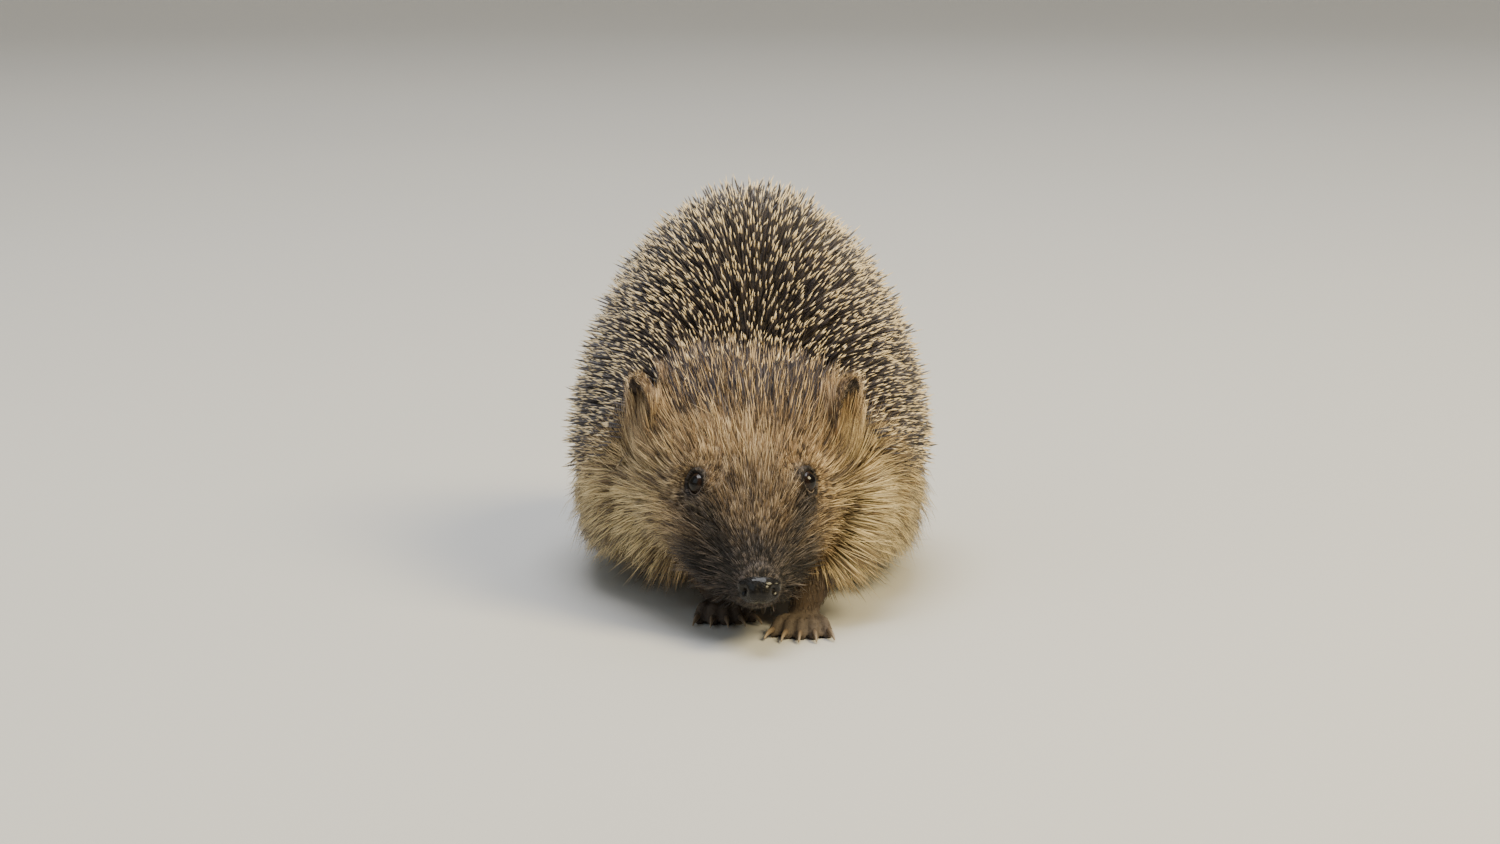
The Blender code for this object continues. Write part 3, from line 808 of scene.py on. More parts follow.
class Skin:
    """The skin's triangles, for placing roots."""

    def __init__(self, mesh):
        mesh.calc_loop_triangles()
        self.corners = read_rows(mesh.loop_triangles, "vertices", 3, int)
        self.points, self.normals = points_of(mesh), normals_of(mesh)
        a, b, c = (self.points[self.corners[:, k]] for k in range(3))
        self.areas = lengths(np.cross(b - a, c - a)) / 2
        self.centres = (a + b + c) / 3
        self.facing = unit(self.normals[self.corners].mean(1))

    def roots(self, count, weight, rng):
        """Evenly spread places on the skin, weighted by area and by a density over the faces."""
        share = np.cumsum(self.areas * weight)
        picks = np.searchsorted(share, (np.arange(count) + rng.random(count)) / count * share[-1])
        picks = np.minimum(picks, len(share) - 1)
        r, s = rng.random(count), rng.random(count)
        over = r + s > 1
        r, s = np.where(over, 1 - r, r), np.where(over, 1 - s, s)
        weights = np.stack([1 - r - s, r, s], 1)[:, :, None]
        chosen = self.corners[picks]
        return ((self.points[chosen] * weights).sum(1),
                unit((self.normals[chosen] * weights).sum(1)))


def body_map(points):
    """An unwrap of the skin: round the body's axis across, and from nose to rump along."""
    y = points[:, 1] / MM
    axis_z = np.interp(y, [-118, -95, -60, -20, 60, 118], [21, 30, 44, 52, 56, 36]) * MM
    axis_x = np.interp(y, [-118, -60, 118], [3, 0, 0]) * MM
    right, up = points[:, 0] - axis_x, points[:, 2] - axis_z
    held = np.clip(y, -104, 76)
    along = held + 30 * np.arctan2(y - held, np.hypot(right, up) / MM)
    return np.stack([np.arctan2(right, up) / (2 * pi) + 0.5, (along + 150) / 290], 1)


def patch_places(points, size):
    """A place of its own on the unwrap for each root, as near as it can be to where it grows."""
    flat = body_map(points)
    low, high = flat.min(0), flat.max(0)
    flat = 0.02 + (flat - low) / np.maximum(high - low, 1e-9) * 0.96
    pitch = size * 1.15
    limit = int(0.985 / pitch)
    ring = sorted(product(range(-24, 25), repeat=2), key=lambda o: o[0] ** 2 + o[1] ** 2)
    taken, spots = set(), []
    for u, v in np.floor(flat / pitch).astype(int).tolist():
        for i, j in ring:
            spot = (u + i, v + j)
            if spot not in taken and 3 <= spot[0] <= limit and 3 <= spot[1] <= limit:
                break
        taken.add(spot)
        spots.append(spot)
    return (np.array(spots) + 0.5) * pitch


def put(mesh, name, values):
    """Stores a number or a triple with each vertex."""
    values = np.asarray(values, float)
    kind, field = ("FLOAT", "value") if values.ndim == 1 else ("FLOAT_VECTOR", "vector")
    mesh.attributes.new(name, kind, "POINT").data.foreach_set(field, values.ravel())


def strands(name, paths, shares, widths, normals, values, keep=slice(None), sides=4,
            patch=0.004, thin=1.0):
    """Closed tapering strands along paths of points; the last point of each is its tip.

    Shares say how far along the strand each point lies, and keep says which strands are made.
    """
    paths, widths, normals = paths[keep], widths[keep], normals[keep]
    count, rings = paths.shape[0], paths.shape[1] - 1
    along = np.gradient(paths, axis=1)
    along /= np.maximum(np.linalg.norm(along, axis=2, keepdims=True), 1e-12)
    across = np.cross(along, normals[:, None, :])
    across /= np.maximum(np.linalg.norm(across, axis=2, keepdims=True), 1e-12)
    up = np.cross(across, along)
    angles = 2 * pi * (np.arange(sides) + 0.25) / sides
    half = widths[:, :rings, None, None] / 2
    ring = (paths[:, :rings, None, :]
            + across[:, :rings, None, :] * half * np.cos(angles)[:, None]
            + up[:, :rings, None, :] * (half * thin) * np.sin(angles)[:, None])
    points = np.concatenate([ring.reshape(count, -1, 3), paths[:, -1:, :]], 1)
    per = points.shape[1]

    # Faces by (place round the strand, ring), and where each corner lies in the strand's patch.
    faces = [[(k, i), (k + 1, i), (k + 1, i + 1), (k, i + 1)]
             for i in range(rings - 1) for k in range(sides)]
    faces += [[(k, rings - 1), (k + 1, rings - 1), (k + 0.5, rings)] for k in range(sides)]
    loops = list(range(sides))[::-1]
    flats = [(0.5 + 0.42 * cos(a), 0.05 + 0.05 * sin(a)) for a in angles][::-1]
    for k, i in (corner for face in faces for corner in face):
        loops.append(min(i * sides + int(k) % sides, per - 1))
        flats.append((k / sides, 0.1 + 0.9 * shares[i]))
    sizes = np.tile([sides] + [len(face) for face in faces], count)
    loops = np.array(loops) + np.arange(count)[:, None] * per

    mesh = bpy.data.meshes.new(name)
    mesh.vertices.add(count * per)
    mesh.vertices.foreach_set("co", points.ravel())
    mesh.loops.add(loops.size)
    mesh.loops.foreach_set("vertex_index", loops.ravel())
    mesh.polygons.add(len(sizes))
    mesh.polygons.foreach_set("loop_start", np.append(0, np.cumsum(sizes)[:-1]))
    mesh.polygons.foreach_set("loop_total", sizes)
    mesh.update(calc_edges=True)

    roots = paths[:, 0, :]
    uv = patch_places(roots, patch)[:, None, :] + (np.array(flats) - 0.5) * patch
    mesh.uv_layers.new(name="OFBake").data.foreach_set("uv", uv.ravel())
    put(mesh, "along", np.tile(np.append(np.repeat(shares[:rings], sides), 1.0), count))
    for key, value in values.items():
        put(mesh, key, np.repeat(value[keep], per))
    put(mesh, "marks", np.repeat(markings(roots), per, axis=0))
    return object_of(name, mesh)


def bowed(start, tips, bow, shares):
    """Paths from start to tips that stand off by bow in the middle."""
    return np.stack([start + (tips - start) * s + bow * 4 * s * (1 - s) for s in shares], 1)


def raised(lie, normals, steepness, low, high):
    """The lie lifted off the skin, as steep as that, and the angle of the lift."""
    lift = np.arcsin(np.clip(steepness, low, high))
    return lie * np.cos(lift)[:, None] + normals * np.sin(lift)[:, None], lift


def turned(vectors, axes, degrees):
    """Each vector turned round its own axis."""
    angles = np.radians(degrees)
    c, s = np.cos(angles)[:, None], np.sin(angles)[:, None]
    dots = (vectors * axes).sum(1)[:, None]
    return vectors * c + np.cross(axes, vectors) * s + axes * dots * (1 - c)


def depth_at(points):
    """Distance from each point out to the coat's outline."""
    return np.array([outline_tree.find_nearest(point)[3] for point in points])


def gathered(tips, roots, rng, group, pull):
    """Draws tips together into locks, each towards the tip of a nearby leader."""
    leaders = rng.choice(len(roots), max(len(roots) // group, 1), replace=False)
    tree = KDTree(len(leaders))
    for i, leader in enumerate(leaders):
        tree.insert(roots[leader], i)
    tree.balance()
    nearest = np.array([leaders[tree.find(root)[1]] for root in roots])
    target = tips[nearest] - roots[nearest] + (roots[nearest] - roots) * 0.7
    change = (target - (tips - roots)) * pull
    limit = lengths(tips - roots) * 0.35
    size = np.maximum(lengths(change), 1e-9)
    return tips + change * np.minimum(1, limit / size)[:, None], nearest


def in_opening(points):
    """Inside the lids of an eye."""
    inside = np.zeros(len(points), bool)
    for side in EYES:
        _, height, across = from_eye(points, side)
        inside |= ((lengths(across) < LID_RADIUS + 0.25 * MM)
                   & (height > -4 * MM) & (height < 6 * MM))
    return inside


def grows_spines(points, normals):
    """Roots whose spine would end inside the spiny part of the outline."""
    ends = points + normals * 10 * MM + combed(points, normals, True) * 12 * MM
    return spine_zone(ends, 7) * (1 - ear_zone(points, 4)[0])


def crown_zone(points):
    """1 on the forehead under the first spines, where long bristly hair is dark and pale."""
    x, y, z = points.T
    aside = np.abs(x - SHIFT.x) + 3 * MM * waves(points, 9, 31)
    return (rise(y, -78, -62) * fall(aside, 15, 29) * rise(z, 60, 72)
            * (z < spine_edge(y) + 28 * MM))


def jowls(points):
    """1 along the lower cheeks, where the hair is long and hangs clear of the face."""
    x, y, z = points.T
    return fall(z, 20, 38) * rise(np.abs(x - SHIFT.x), 4, 10) * rise(y, -107, -94)


def fur_length(points):
    """Length of the hair at each place, shortest on the nose, round the eyes and on the paws."""
    _, y, z = points.T
    length = np.interp(y / MM, [-118, -110, -102, -95, -88, -80, -70, -60, -50, -40, -10],
                       [1.3, 2.1, 3.6, 5.4, 7.8, 10.4, 12.8, 14.5, 15.5, 16.5, 17.5])
    length *= 1 + 0.32 * (fall(z, 30, 60) * rise(y, -92, -70))
    length += 5.0 * jowls(points)
    distance, _ = eye_clearance(points)
    length = np.minimum(length, 1.3 + 4.2 * rise(distance, 4.5, 11) + 30 * rise(distance, 9, 18))
    limb = lower_limb(points)
    on_limb = np.interp(z / MM, [0, 5, 8, 14, 26], [1.1, 1.4, 2.2, 3.5, 6.0])
    length = length * (1 - limb) + on_limb * limb
    length = np.where(ear_zone(points)[0] > 0.5, 3.4, length)
    return np.where(on_tail(points), 7.0, length) * MM


TINT_CONTRAST = 2.0


def fur(name, weight, seed, width, count=12000, rings=3, lock=7, pull=0.55, wild=5.0,
        lengthen=1.0, proud=0.0):
    """Locks of hair over part of the skin, rooted just inside it and lying with the coat."""
    rng = np.random.default_rng(seed)
    roots, normals = skin.roots(count, weight, rng)
    outside = ~in_opening(roots)
    roots, normals = roots[outside], normals[outside]
    count = len(roots)
    distance, away = eye_clearance(roots)
    parting = flattened(away, normals) * (fall(distance, 5, 12)[:, None] * 1.6)
    lie = unit(combed(roots, normals, False) + parting)
    length = fur_length(roots) * rng.uniform(0.72, 1.12, count) * lengthen
    swirl = waves(roots, 22, seed + 1) * 6 + waves(roots, 7, seed + 2) * 4
    lie = turned(lie, normals, swirl + rng.normal(0, wild, count))
    inside_coat = depth_at(roots) * rng.uniform(0.45, 1.12, count)
    inside_coat += (jowls(roots) * 2.2 * MM + proud * MM) * rng.random(count) ** 1.5
    on_ear, _ = ear_zone(roots)
    bare = np.where(on_tail(roots), 1.0, np.maximum(on_ear, lower_limb(roots)))
    low_lift = length * rng.uniform(0.12, 0.34, count)
    height = inside_coat * (1 - bare) + low_lift * bare
    lead, lift = raised(lie, normals, height / length, 0.07, 0.82)
    about, upward = ear_surround(roots)
    about = (about * (1 - on_ear) * 0.75)[:, None]
    tips = roots + unit(lead * (1 - about) + upward * about) * length[:, None]
    tips, leader = gathered(tips, roots, rng, lock, pull)
    clear = np.where(bare < 0.5, rng.uniform(4.5, 8.5, count) * MM, 0.4 * MM)
    tips[:, 2] = np.maximum(tips[:, 2], np.minimum(clear, roots[:, 2]))
    shares = np.linspace(0, 1, rings + 1)
    bow = normals * (np.sin(lift) * length * 0.176)[:, None]
    paths = bowed(roots - normals * 0.25 * MM, tips, bow, shares)
    widths = width * MM * rng.uniform(0.7, 1.25, count) * np.clip(length / (6 * MM), 0.55, 1.0)
    widths = widths[:, None] * np.interp(shares, [0, 0.35, 0.7, 1], [0.75, 1.0, 0.62, 0.05])
    tint = 0.66 * rng.random(count)[leader] + 0.34 * rng.random(count)
    tint = np.clip(0.5 + (tint - 0.5) * TINT_CONTRAST, 0, 1)
    darker = rng.random(count)[leader] < 0.97 * crown_zone(roots)
    return strands(name, paths, shares, widths, normals,
                   {"tint": np.where(darker, tint * 0.15, tint)}, sides=3, patch=0.003, thin=0.55)


def brow_bristles(seed):
    """Stiff thin bristles on the crown, banded like small spines, lying among the long hair."""
    rng = np.random.default_rng(seed)
    spot = skin.centres
    weight = crown_zone(spot) * (1 - ear_zone(spot, 3)[0]) * (1 - ear_surround(spot)[0])
    weight *= 1 - smoothstep(grows_spines(spot, skin.facing), 0.5, 1.0)
    roots, normals = skin.roots(BRISTLES, weight, rng)
    count = len(roots)
    lie = turned(combed(roots, normals, False), normals,
                 waves(roots, 16, seed) * 7 + rng.normal(0, 7, count))
    length = rng.uniform(15, 24, count) * MM
    height = depth_at(roots) * rng.uniform(0.8, 1.35, count)
    lead, lift = raised(lie, normals, height / length, 0.12, 0.8)
    shares = [0.0, 0.3, 0.72, 1.0]
    paths = bowed(roots, roots + lead * length[:, None],
                  normals * (np.sin(lift) * length * 0.16)[:, None], shares)
    widths = (rng.uniform(0.45, 0.68, count) * MM)[:, None] * [0.6, 1.0, 0.8, 0.05]
    reach = np.where(rng.random(count) < 0.66, 2.0, rng.random(count))
    return strands("brow_bristles", paths, shares, widths, normals,
                   {"tint": rng.random(count), "reach": reach},
                   ear_zone(paths[:, -1], 3)[0] < 0.1)


def spread_apart(points, order, gap):
    """Picks points in the given order, leaving out any within the gap of one already picked."""
    kept, grid = [], {}
    cells = (points // gap).astype(int).tolist()
    for k in order:
        x, y, z = cells[k]
        close = [q for i, j, m in product((-1, 0, 1), repeat=3)
                 for q in grid.get((x + i, y + j, z + m), ())]
        if not close or ((points[close] - points[k]) ** 2).sum(1).min() >= gap * gap:
            kept.append(k)
            grid.setdefault((x, y, z), []).append(k)
    return np.array(kept)


SPINE_GAP, SPINE_LENGTH, SPINE_WIDTH = 1.42 * MM, 20 * MM, 0.80 * MM
SPINE_TRIES, BRISTLES = 60000, 1650


def spines(seed):
    """The spines in a left and a right piece."""
    rng = np.random.default_rng(seed)
    roots, normals = skin.roots(SPINE_TRIES, grows_spines(skin.centres, skin.facing), rng)
    kept = spread_apart(roots, rng.permutation(len(roots)), SPINE_GAP)
    roots, normals = roots[kept], normals[kept]
    count = len(roots)
    lie = turned(combed(roots, normals, True), normals,
                 waves(roots, 30, seed + 1) * 9 + rng.normal(0, 22, count))
    front = fall(roots[:, 1], -25, 35)
    length = SPINE_LENGTH * rng.uniform(0.86, 1.10, count) * (1 - 0.34 * front)
    height = depth_at(roots) + rng.normal(0.3 * MM, 2.2 * MM, count)
    tips = roots + raised(lie, normals, height / length, 0.30, 0.95)[0] * length[:, None]
    bow = normals * (length * rng.uniform(-0.01, 0.035, count))[:, None]
    shares = [0.0, 0.14, 0.50, 0.86, 1.0]
    paths = bowed(roots - normals * 0.6 * MM, tips, bow, shares)
    width = SPINE_WIDTH * rng.uniform(0.84, 1.12, count)
    widths = width[:, None] * [0.45, 0.86, 1.0, 0.66, 0.05]
    brow = front * rise(roots[:, 2], 70, 110)
    values = {"tint": rng.random(count), "reach": rng.random(count) * (1 - 0.7 * brow)}
    clear = np.maximum(ear_zone(tips, 2)[0], ear_zone(paths[:, 3], 2)[0]) < 0.1
    return [strands("spines_" + side, paths, shares, widths, normals, values,
                    clear & (paths[:, 0, 0] * sign > 0)) for side, sign in SIDES.items()]


# ------------------------------------------------ materials

class Signal:
    """A socket's value in a finish, so that shader maths can be written as Python."""

    def __init__(self, finish, socket):
        self.finish, self.socket = finish, socket

    def maths(self, operation, *values):
        return self.finish.node("ShaderNodeMath", {"operation": operation},
                                dict(enumerate(values)))

    def __add__(self, other):
        return self.maths("ADD", self, other)

    def __sub__(self, other):
        return self.maths("SUBTRACT", self, other)

    def __rsub__(self, other):
        return self.maths("SUBTRACT", other, self)

    def __mul__(self, other):
        return self.maths("MULTIPLY", self, other)

    def clamped(self):
        return self.maths("MINIMUM", self.maths("MAXIMUM", self, 0.0), 1.0)

    __radd__, __rmul__ = __add__, __mul__


class Finish:
    """A material with its Principled shader and a short way to add nodes."""

    def __init__(self, name, roughness, specular, coat=0.0, coat_roughness=0.03):
        self.material = bpy.data.materials.new(name)
        self.material.use_nodes = True
        self.tree = self.material.node_tree
        self.shader = self.tree.nodes["Principled BSDF"].inputs
        for socket, value in (("Roughness", roughness), ("Specular IOR Level", specular),
                              ("Coat Weight", coat), ("Coat Roughness", coat_roughness)):
            self.shader[socket].default_value = value

    def node(self, kind, settings=None, sockets=None, output=0):
        """A node of a kind, with its settings, its sockets' values or links, and one output."""
        made = self.tree.nodes.new(kind)
        for key, value in (settings or {}).items():
            if key == "stops":
                for _ in value[2:]:
                    made.color_ramp.elements.new(1.0)
                for stop, (position, colour) in zip(made.color_ramp.elements, value):
                    stop.position, stop.color = position, (*colour, 1)
            else:
                setattr(made, key, value)
        for key, value in (sockets or {}).items():
            if isinstance(value, Signal):
                self.tree.links.new(value.socket, made.inputs[key])
            else:
                made.inputs[key].default_value = (*value, 1) if isinstance(value, tuple) else value
        return Signal(self, made.outputs[output])

    def stored(self, name, output=2):
        return self.node("ShaderNodeAttribute", {"attribute_name": name}, output=output)

    def stored_parts(self, name):
        split = self.node("ShaderNodeSeparateXYZ", sockets={0: self.stored(name, 1)})
        return [Signal(self, socket) for socket in split.socket.node.outputs]

    def eased(self, value, low, high):
        return self.node("ShaderNodeMapRange", {"interpolation_type": "SMOOTHSTEP"},
                         {"Value": value, "From Min": low, "From Max": high})

    def mixed(self, share, first, second, blend="MIX"):
        return self.node("ShaderNodeMix", {"data_type": "RGBA", "blend_type": blend},
                         {0: share, 6: first, 7: second}, output=2)

    def place(self):
        return self.node("ShaderNodeTexCoord", output=3)

    def noise(self, scale, detail=2.0, roughness=0.5):
        return self.node("ShaderNodeTexNoise", sockets={
            0: self.place(), "Scale": scale, "Detail": detail, "Roughness": roughness})

    def bumped(self, height, distance, strength):
        bump = self.node("ShaderNodeBump", sockets={
            "Strength": strength, "Distance": distance, "Height": height})
        self.tree.links.new(bump.socket, self.shader["Normal"])

    def done(self, colour, roughness=None):
        """Connects the colour, and the roughness where it varies, and gives the material."""
        self.tree.links.new(colour.socket, self.shader["Base Color"])
        if roughness:
            self.tree.links.new(roughness.socket, self.shader["Roughness"])
        return self.material


TAN = (0.375, 0.245, 0.128)
TAN_PALE = (0.76, 0.56, 0.32)
TAN_DARK = (0.060, 0.038, 0.024)
STRAW = (0.88, 0.71, 0.39)
STRAW_DARK = (0.20, 0.142, 0.080)
MASK = (0.042, 0.034, 0.029)
LIMB = (0.125, 0.095, 0.070)
CREAM = (0.90, 0.71, 0.42)
BRISTLE = (0.60, 0.43, 0.24)
UMBER = (0.066, 0.056, 0.060)


def between(colour, low, high):
    """The same colour at two strengths."""
    return [tuple(c * strength for c in colour) for strength in (low, high)]


def coat_colour(finish, tint):
    """The hair's colour from the markings stored with it, and from its own tint."""
    dark, straw, limb = finish.stored_parts("marks")
    tan = finish.node("ShaderNodeValToRGB", {"stops": [
        (0.08, TAN_DARK), (0.42, TAN), (0.66, TAN), (0.92, TAN_PALE)]}, {0: tint})
    golden = finish.mixed(finish.eased(tint, 0.12, 0.68), STRAW_DARK, STRAW)
    shade = finish.mixed(finish.eased(tint, 0.45, 1.0), *between(MASK, 0.45, 4.2))
    shank = finish.mixed(tint, *between(LIMB, 0.6, 1.8))
    colour = finish.mixed(dark, finish.mixed(straw, tan, golden), shade)
    return finish.mixed(limb, colour, shank)


def fur_finish(name):
    finish = Finish(name, 0.55, 0.35)
    along, tint = finish.stored("along"), finish.stored("tint")
    colour = coat_colour(finish, (tint * 0.8 + finish.noise(55.0, 3.0) * 0.5 - 0.15).clamped())
    root = finish.mixed(1.0, colour, (0.20, 0.17, 0.15), "MULTIPLY")
    return finish.done(finish.mixed(finish.eased(along, 0.02, 0.62), root, colour),
                       tint * 0.2 + 0.45)


def spine_finish(name, tip_from, tip_spread, tip_colour, gloss):
    """Dusky at the root, dark in the middle and pale from a share of the length to the tip."""
    finish = Finish(name, 0.38, gloss)
    along, tint = finish.stored("along"), finish.stored("tint")
    streak = finish.noise(420.0)
    edge = tip_from + finish.stored("reach") * tip_spread
    base = 1 - finish.eased(along - tint * 0.12, 0.20, 0.36)
    colour = finish.mixed(base, finish.mixed(tint, *between(UMBER, 0.6, 1.6)),
                          (0.13, 0.105, 0.085))
    colour = finish.mixed(finish.eased(along - edge, -0.03, 0.05), colour,
                          finish.mixed(streak, *between(tip_colour, 0.82, 1.12)))
    point = finish.eased(along, 0.975, 1.0)
    return finish.done(finish.mixed(point * 0.6, colour, (0.35, 0.24, 0.14)), streak * 0.2 + 0.30)


def skin_finish():
    finish = Finish("skin", 0.7, 0.22)
    grain, mottle = finish.noise(900.0, 3.0, 0.6), finish.noise(60.0, 3.0)
    tint = (mottle * 0.7 + grain * 0.45 - 0.1).clamped()
    colour = finish.mixed(1.0, coat_colour(finish, tint), (0.45, 0.40, 0.36), "MULTIPLY")
    spiny, bare, moist_and_highlight = finish.stored_parts("flesh")
    hide = finish.mixed(tint, (0.055, 0.044, 0.037), (0.155, 0.122, 0.100))
    # The moist lid rims are smoother, which is real, and pale, which is a painted highlight.
    for share, over in ((spiny, (0.035, 0.028, 0.024)), (bare, hide), (moist_and_highlight, (0.34, 0.27, 0.23))):
        colour = finish.mixed(share, colour, over)
    finish.bumped(grain + mottle * 0.5, 0.5 * MM, 0.8)
    return finish.done(colour, 0.68 - moist_and_highlight * 0.35 + grain * 0.12)


def eye_finish():
    finish = Finish("bead_black_eye", 0.05, 0.28, 0.06, 0.02)
    fleck = finish.noise(1500.0)
    colour = finish.mixed(finish.eased(finish.stored("iris"), 0.45, 0.60),
                          (0.0015, 0.0012, 0.0012), (0.018, 0.009, 0.005))
    finish.bumped(fleck, 0.01 * MM, 0.15)
    return finish.done(finish.mixed(fleck * 0.5, colour, (0.006, 0.004, 0.003)))


def nose_finish():
    finish = Finish("moist_nose", 0.4, 0.08, 0.42, 0.07)
    pebbles = finish.node("ShaderNodeTexVoronoi", {"feature": "SMOOTH_F1"},
                          {0: finish.place(), "Scale": 1500.0, "Smoothness": 0.4})
    mottle = finish.noise(260.0, 3.0, 0.6)
    finish.bumped(1 - pebbles, 0.30 * MM, 0.9)
    return finish.done(finish.mixed(mottle, (0.002, 0.002, 0.002), (0.009, 0.007, 0.006)),
                       mottle * 0.25 + 0.25)


def claw_finish():
    finish = Finish("horn_claws", 0.34, 0.5)
    lines = finish.noise(700.0, 3.0, 0.6)
    colour = finish.mixed(finish.stored("along"), (0.12, 0.085, 0.06), (0.38, 0.30, 0.21))
    finish.bumped(lines, 0.05 * MM, 0.4)
    return finish.done(finish.mixed(lines * 0.5, colour, (0.13, 0.085, 0.06)), lines * 0.2 + 0.26)


# ------------------------------------------------ putting the animal together

def flesh_marks(points, normals):
    """Where the skin is dark under spines, bare as on the paws, or moist as on the lids, whose lower
    rims carry a pale painted highlight.
    """
    paw = limb_zone(points) * fall(points[:, 2], 5, 9)
    moist_and_highlight = np.zeros(len(points))
    for side in EYES:
        away, height, across = from_eye(points, side)
        rim = bell(lengths(across) - LID_RADIUS - 0.20 * MM, 0.24 * MM)
        # Only the lower half of each rim, facing up to the lights, is marked: its pale colour is a
        # painted highlight on the moist lid.
        moist_and_highlight = np.maximum(moist_and_highlight, rim * (height > -1 * MM) * (away[:, 2] < 0) * 0.8)
    return np.stack([grows_spines(points, normals),
                     np.maximum(paw, ear_zone(points, 6)[0] * 0.6), moist_and_highlight], 1)


def finished(piece, material):
    """Gives a piece its material and smooth shading."""
    mesh = piece.data
    mesh.polygons.foreach_set("use_smooth", np.ones(len(mesh.polygons), bool))
    mesh.materials.clear()
    mesh.materials.append(material)


def placed(piece, material, slot, *nodes):
    """Finishes a piece of the animal, attaches it to the root and hides the imported nodes that it
    stands for; the slot is not used.
    """
    finished(piece, material)
    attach(piece, "root")
    if nodes:
        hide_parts(*nodes)


skin_mesh = hedgehog_skin()
skin = Skin(skin_mesh)
put(skin_mesh, "marks", markings(skin.points))
put(skin_mesh, "flesh", flesh_marks(skin.points, skin.normals))
placed(object_of("skin", skin_mesh), skin_finish(), "body_fur", *FLESH)

eye_material = eye_finish()
for side in SIDES:
    ball = eyeball(side)
    away, height, _ = from_eye(points_of(ball), side)
    put(ball, "iris", np.sqrt(np.clip(1 - height / lengths(away), 0, 2)))
    placed(object_of("eye_ball_" + side, ball), eye_material, "eye", "eye_" + side)

placed(object_of("nose_pad", nose_pad()), nose_finish(), "nose", "nose")

claw_material = claw_finish()
for limb, leg in LEGS.items():
    claws = [claw(leg, number) for number in range(TOES)]
    for each in claws:
        put(each, "along", np.linspace(0, 1, len(each.vertices)))
    placed(object_of("claws_" + limb, joined(claws)), claw_material, "claw",
           *(f"claw_{limb}_{number + 1}" for number in range(TOES)))

spine_material = spine_finish("banded_spines", 0.765, 0.18, CREAM, 0.6)
for piece in spines(71):
    placed(piece, spine_material, "spines")
placed(brow_bristles(83), spine_finish("banded_bristles", 0.36, 0.40, BRISTLE, 0.12), "spines")

# Where each piece of fur grows, as a density over the skin's triangles.
spot = skin.centres
spot_x, spot_y, spot_z = spot.T / MM
limb_spot, ear_spot = lower_limb(spot), ear_zone(spot, 6)[0]
furry = (1 - grows_spines(spot, skin.facing)) * (1 - ear_spot) * (1 - (limb_spot > 0.5))
furry = furry * (1 - on_tail(spot))
sparse = furry / (fur_length(spot) / MM) ** 1.1
cheeks = sparse * (spot_y >= -84) * (spot_y < -52) * (1 - 0.65 * crown_zone(spot))
flanks = furry * (spot_y >= -52) * smoothstep(spot_z, 10, 22)
guarded = (furry * smoothstep(spot_y, -104, -92) * smoothstep(spot_z, 9, 14)
           * (1 - 0.6 * smoothstep(spot_y, -50, 0)))
below = (furry * (1 - smoothstep(spot_z, 16, 24)) * (spot_y > -70) * 0.5
         + (limb_spot > 0.5) * 1.6 + ear_spot * 4.0 + on_tail(spot) * 2.5)

face_material, body_material = fur_finish("face_hair"), fur_finish("body_hair")
placed(fur("fur_muzzle", sparse * (spot_y < -84), seed=11, width=0.30, count=16000, rings=2,
           lock=4, pull=0.3, wild=4.0, lengthen=1.2), face_material, "face_fur")
for side, sign in SIDES.items():
    here = spot_x * sign > 0
    placed(fur("fur_face_" + side, cheeks * here, seed=23 + sign, width=0.42, lock=5, pull=0.42,
               wild=4.0, lengthen=1.18), face_material, "face_fur")
    placed(fur("fur_flank_" + side, flanks * here, seed=33 + sign, width=0.55),
           body_material, "body_fur")
placed(fur("fur_guard_hairs", guarded, seed=61, width=0.30, lock=3, pull=0.3, wild=13.0,
           lengthen=1.35, proud=4.8), body_material, "body_fur")
placed(fur("fur_under", below, seed=51, width=0.34, rings=2), body_material, "body_fur")


# ------------------------------------------------ floor, light and camera

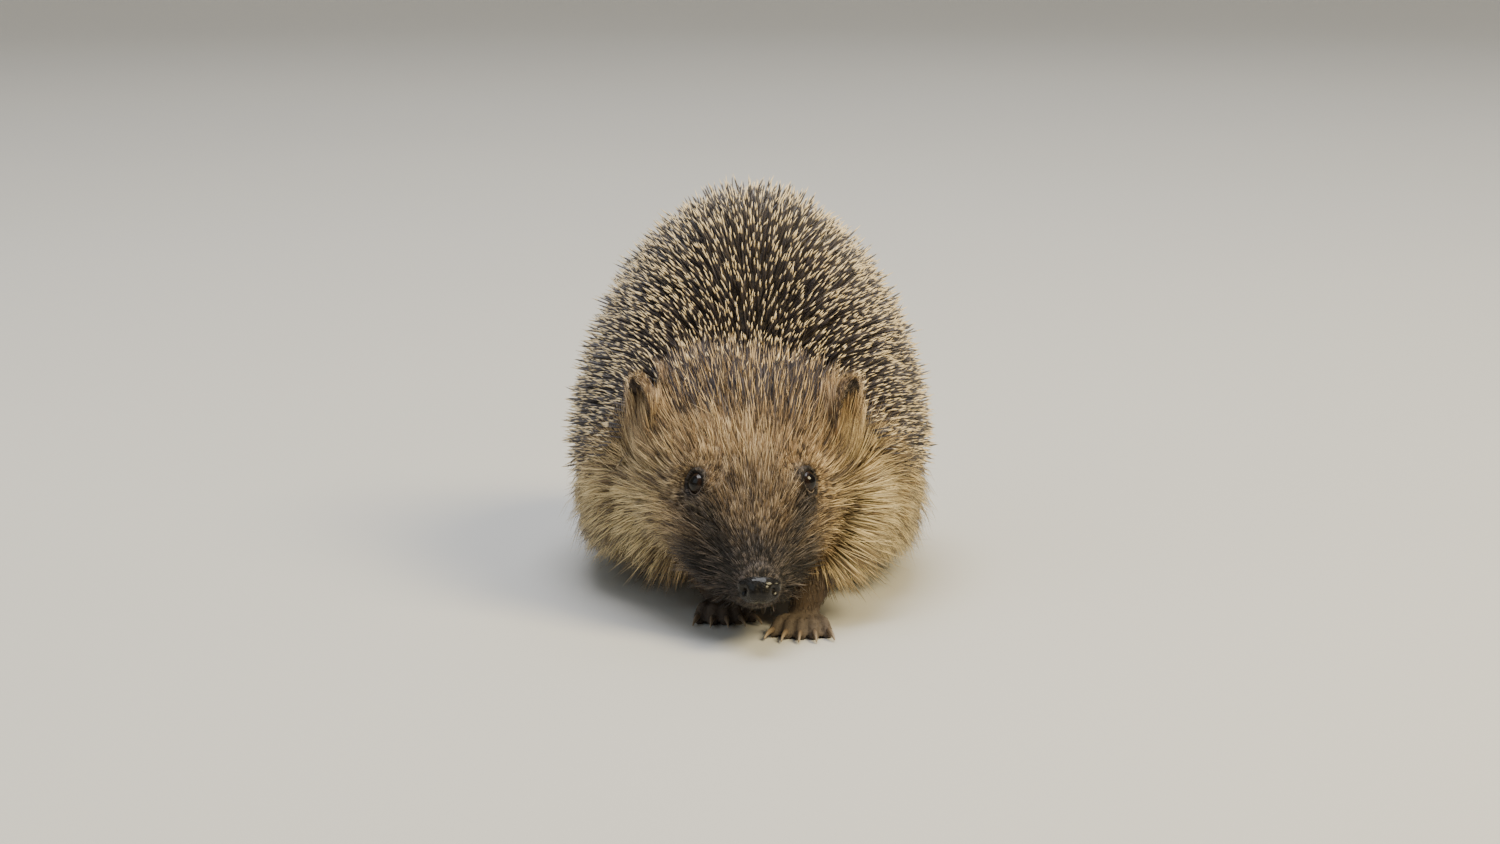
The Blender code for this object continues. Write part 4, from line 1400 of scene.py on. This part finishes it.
def studio_floor():
    """A pale round studio floor that curves up into a wall far behind the animal."""
    flat, bend, spokes = 2.4, 1.6, 96
    profile = [(r, 0.0) for r in (0.6, 1.4, flat)]
    profile += [(flat + bend * sin(a), bend - bend * cos(a))
                for a in (pi / 2 * k / 20 for k in range(1, 21))]
    profile.append((flat + bend, 3.4))
    bm = bmesh.new()
    rows = [[bm.verts.new((r * cos(a), r * sin(a), z)) for a in circle(spokes)]
            for r, z in profile]
    centre = bm.verts.new((0, 0, 0))
    for k in range(spokes):
        m = (k + 1) % spokes
        bm.faces.new((centre, rows[0][k], rows[0][m]))
        for low, high in zip(rows, rows[1:]):
            bm.faces.new((low[k], high[k], high[m], low[m]))
    finish = Finish("pale_floor", 0.7, 0.2)
    piece = object_of("studio_floor", mesh_of(bm))
    finished(piece, finish.done(finish.mixed(finish.noise(1.5), (0.56, 0.55, 0.53),
                                             (0.61, 0.60, 0.58))))


def soft_light(name, place, size, power, colour):
    light = bpy.data.lights.new(name, "AREA")
    light.shape, light.size, light.size_y = "RECTANGLE", size, size
    light.energy, light.color = power, colour
    aimed(object_of(name, light), Vector(place), Vector((0, 0, 0.06)))


def aimed(obj, place, target):
    """Stands a light or the camera at a place, looking at a target."""
    obj.location = place
    obj.rotation_mode = "QUATERNION"
    obj.rotation_quaternion = (place - target).to_track_quat("Z", "Y")


studio_floor()
soft_light("key", (1.3, -0.8, 1.6), 0.9, 64, (1.0, 0.83, 0.46))
soft_light("fill", (-1.4, -1.2, 1.5), 1.7, 8, (0.74, 0.89, 1.0))
soft_light("behind", (0.2, 1.5, 1.7), 1.4, 14, (0.94, 0.96, 1.0))
soft_light("above", (-0.1, 0.0, 2.0), 1.2, 36, (0.97, 0.98, 1.0))
world = bpy.data.worlds.new("studio")
world.use_nodes = True
sky = world.node_tree.nodes["Background"].inputs
sky["Color"].default_value = (0.80, 0.84, 0.88, 1)
sky["Strength"].default_value = 0.30
bpy.context.scene.world = world

LOOK_AT = Vector((0, 0, 0.058))
CAMERA_DISTANCE, CAMERA_RISE = 1.400, radians(10.5)
lens = bpy.data.cameras.new("camera")
lens.lens, lens.sensor_width, lens.clip_start = 93.6, 36, 0.05
camera = object_of("camera", lens)
back = Vector((0, -cos(CAMERA_RISE), sin(CAMERA_RISE)))
aimed(camera, LOOK_AT + back * CAMERA_DISTANCE, LOOK_AT)
bpy.context.scene.camera = camera
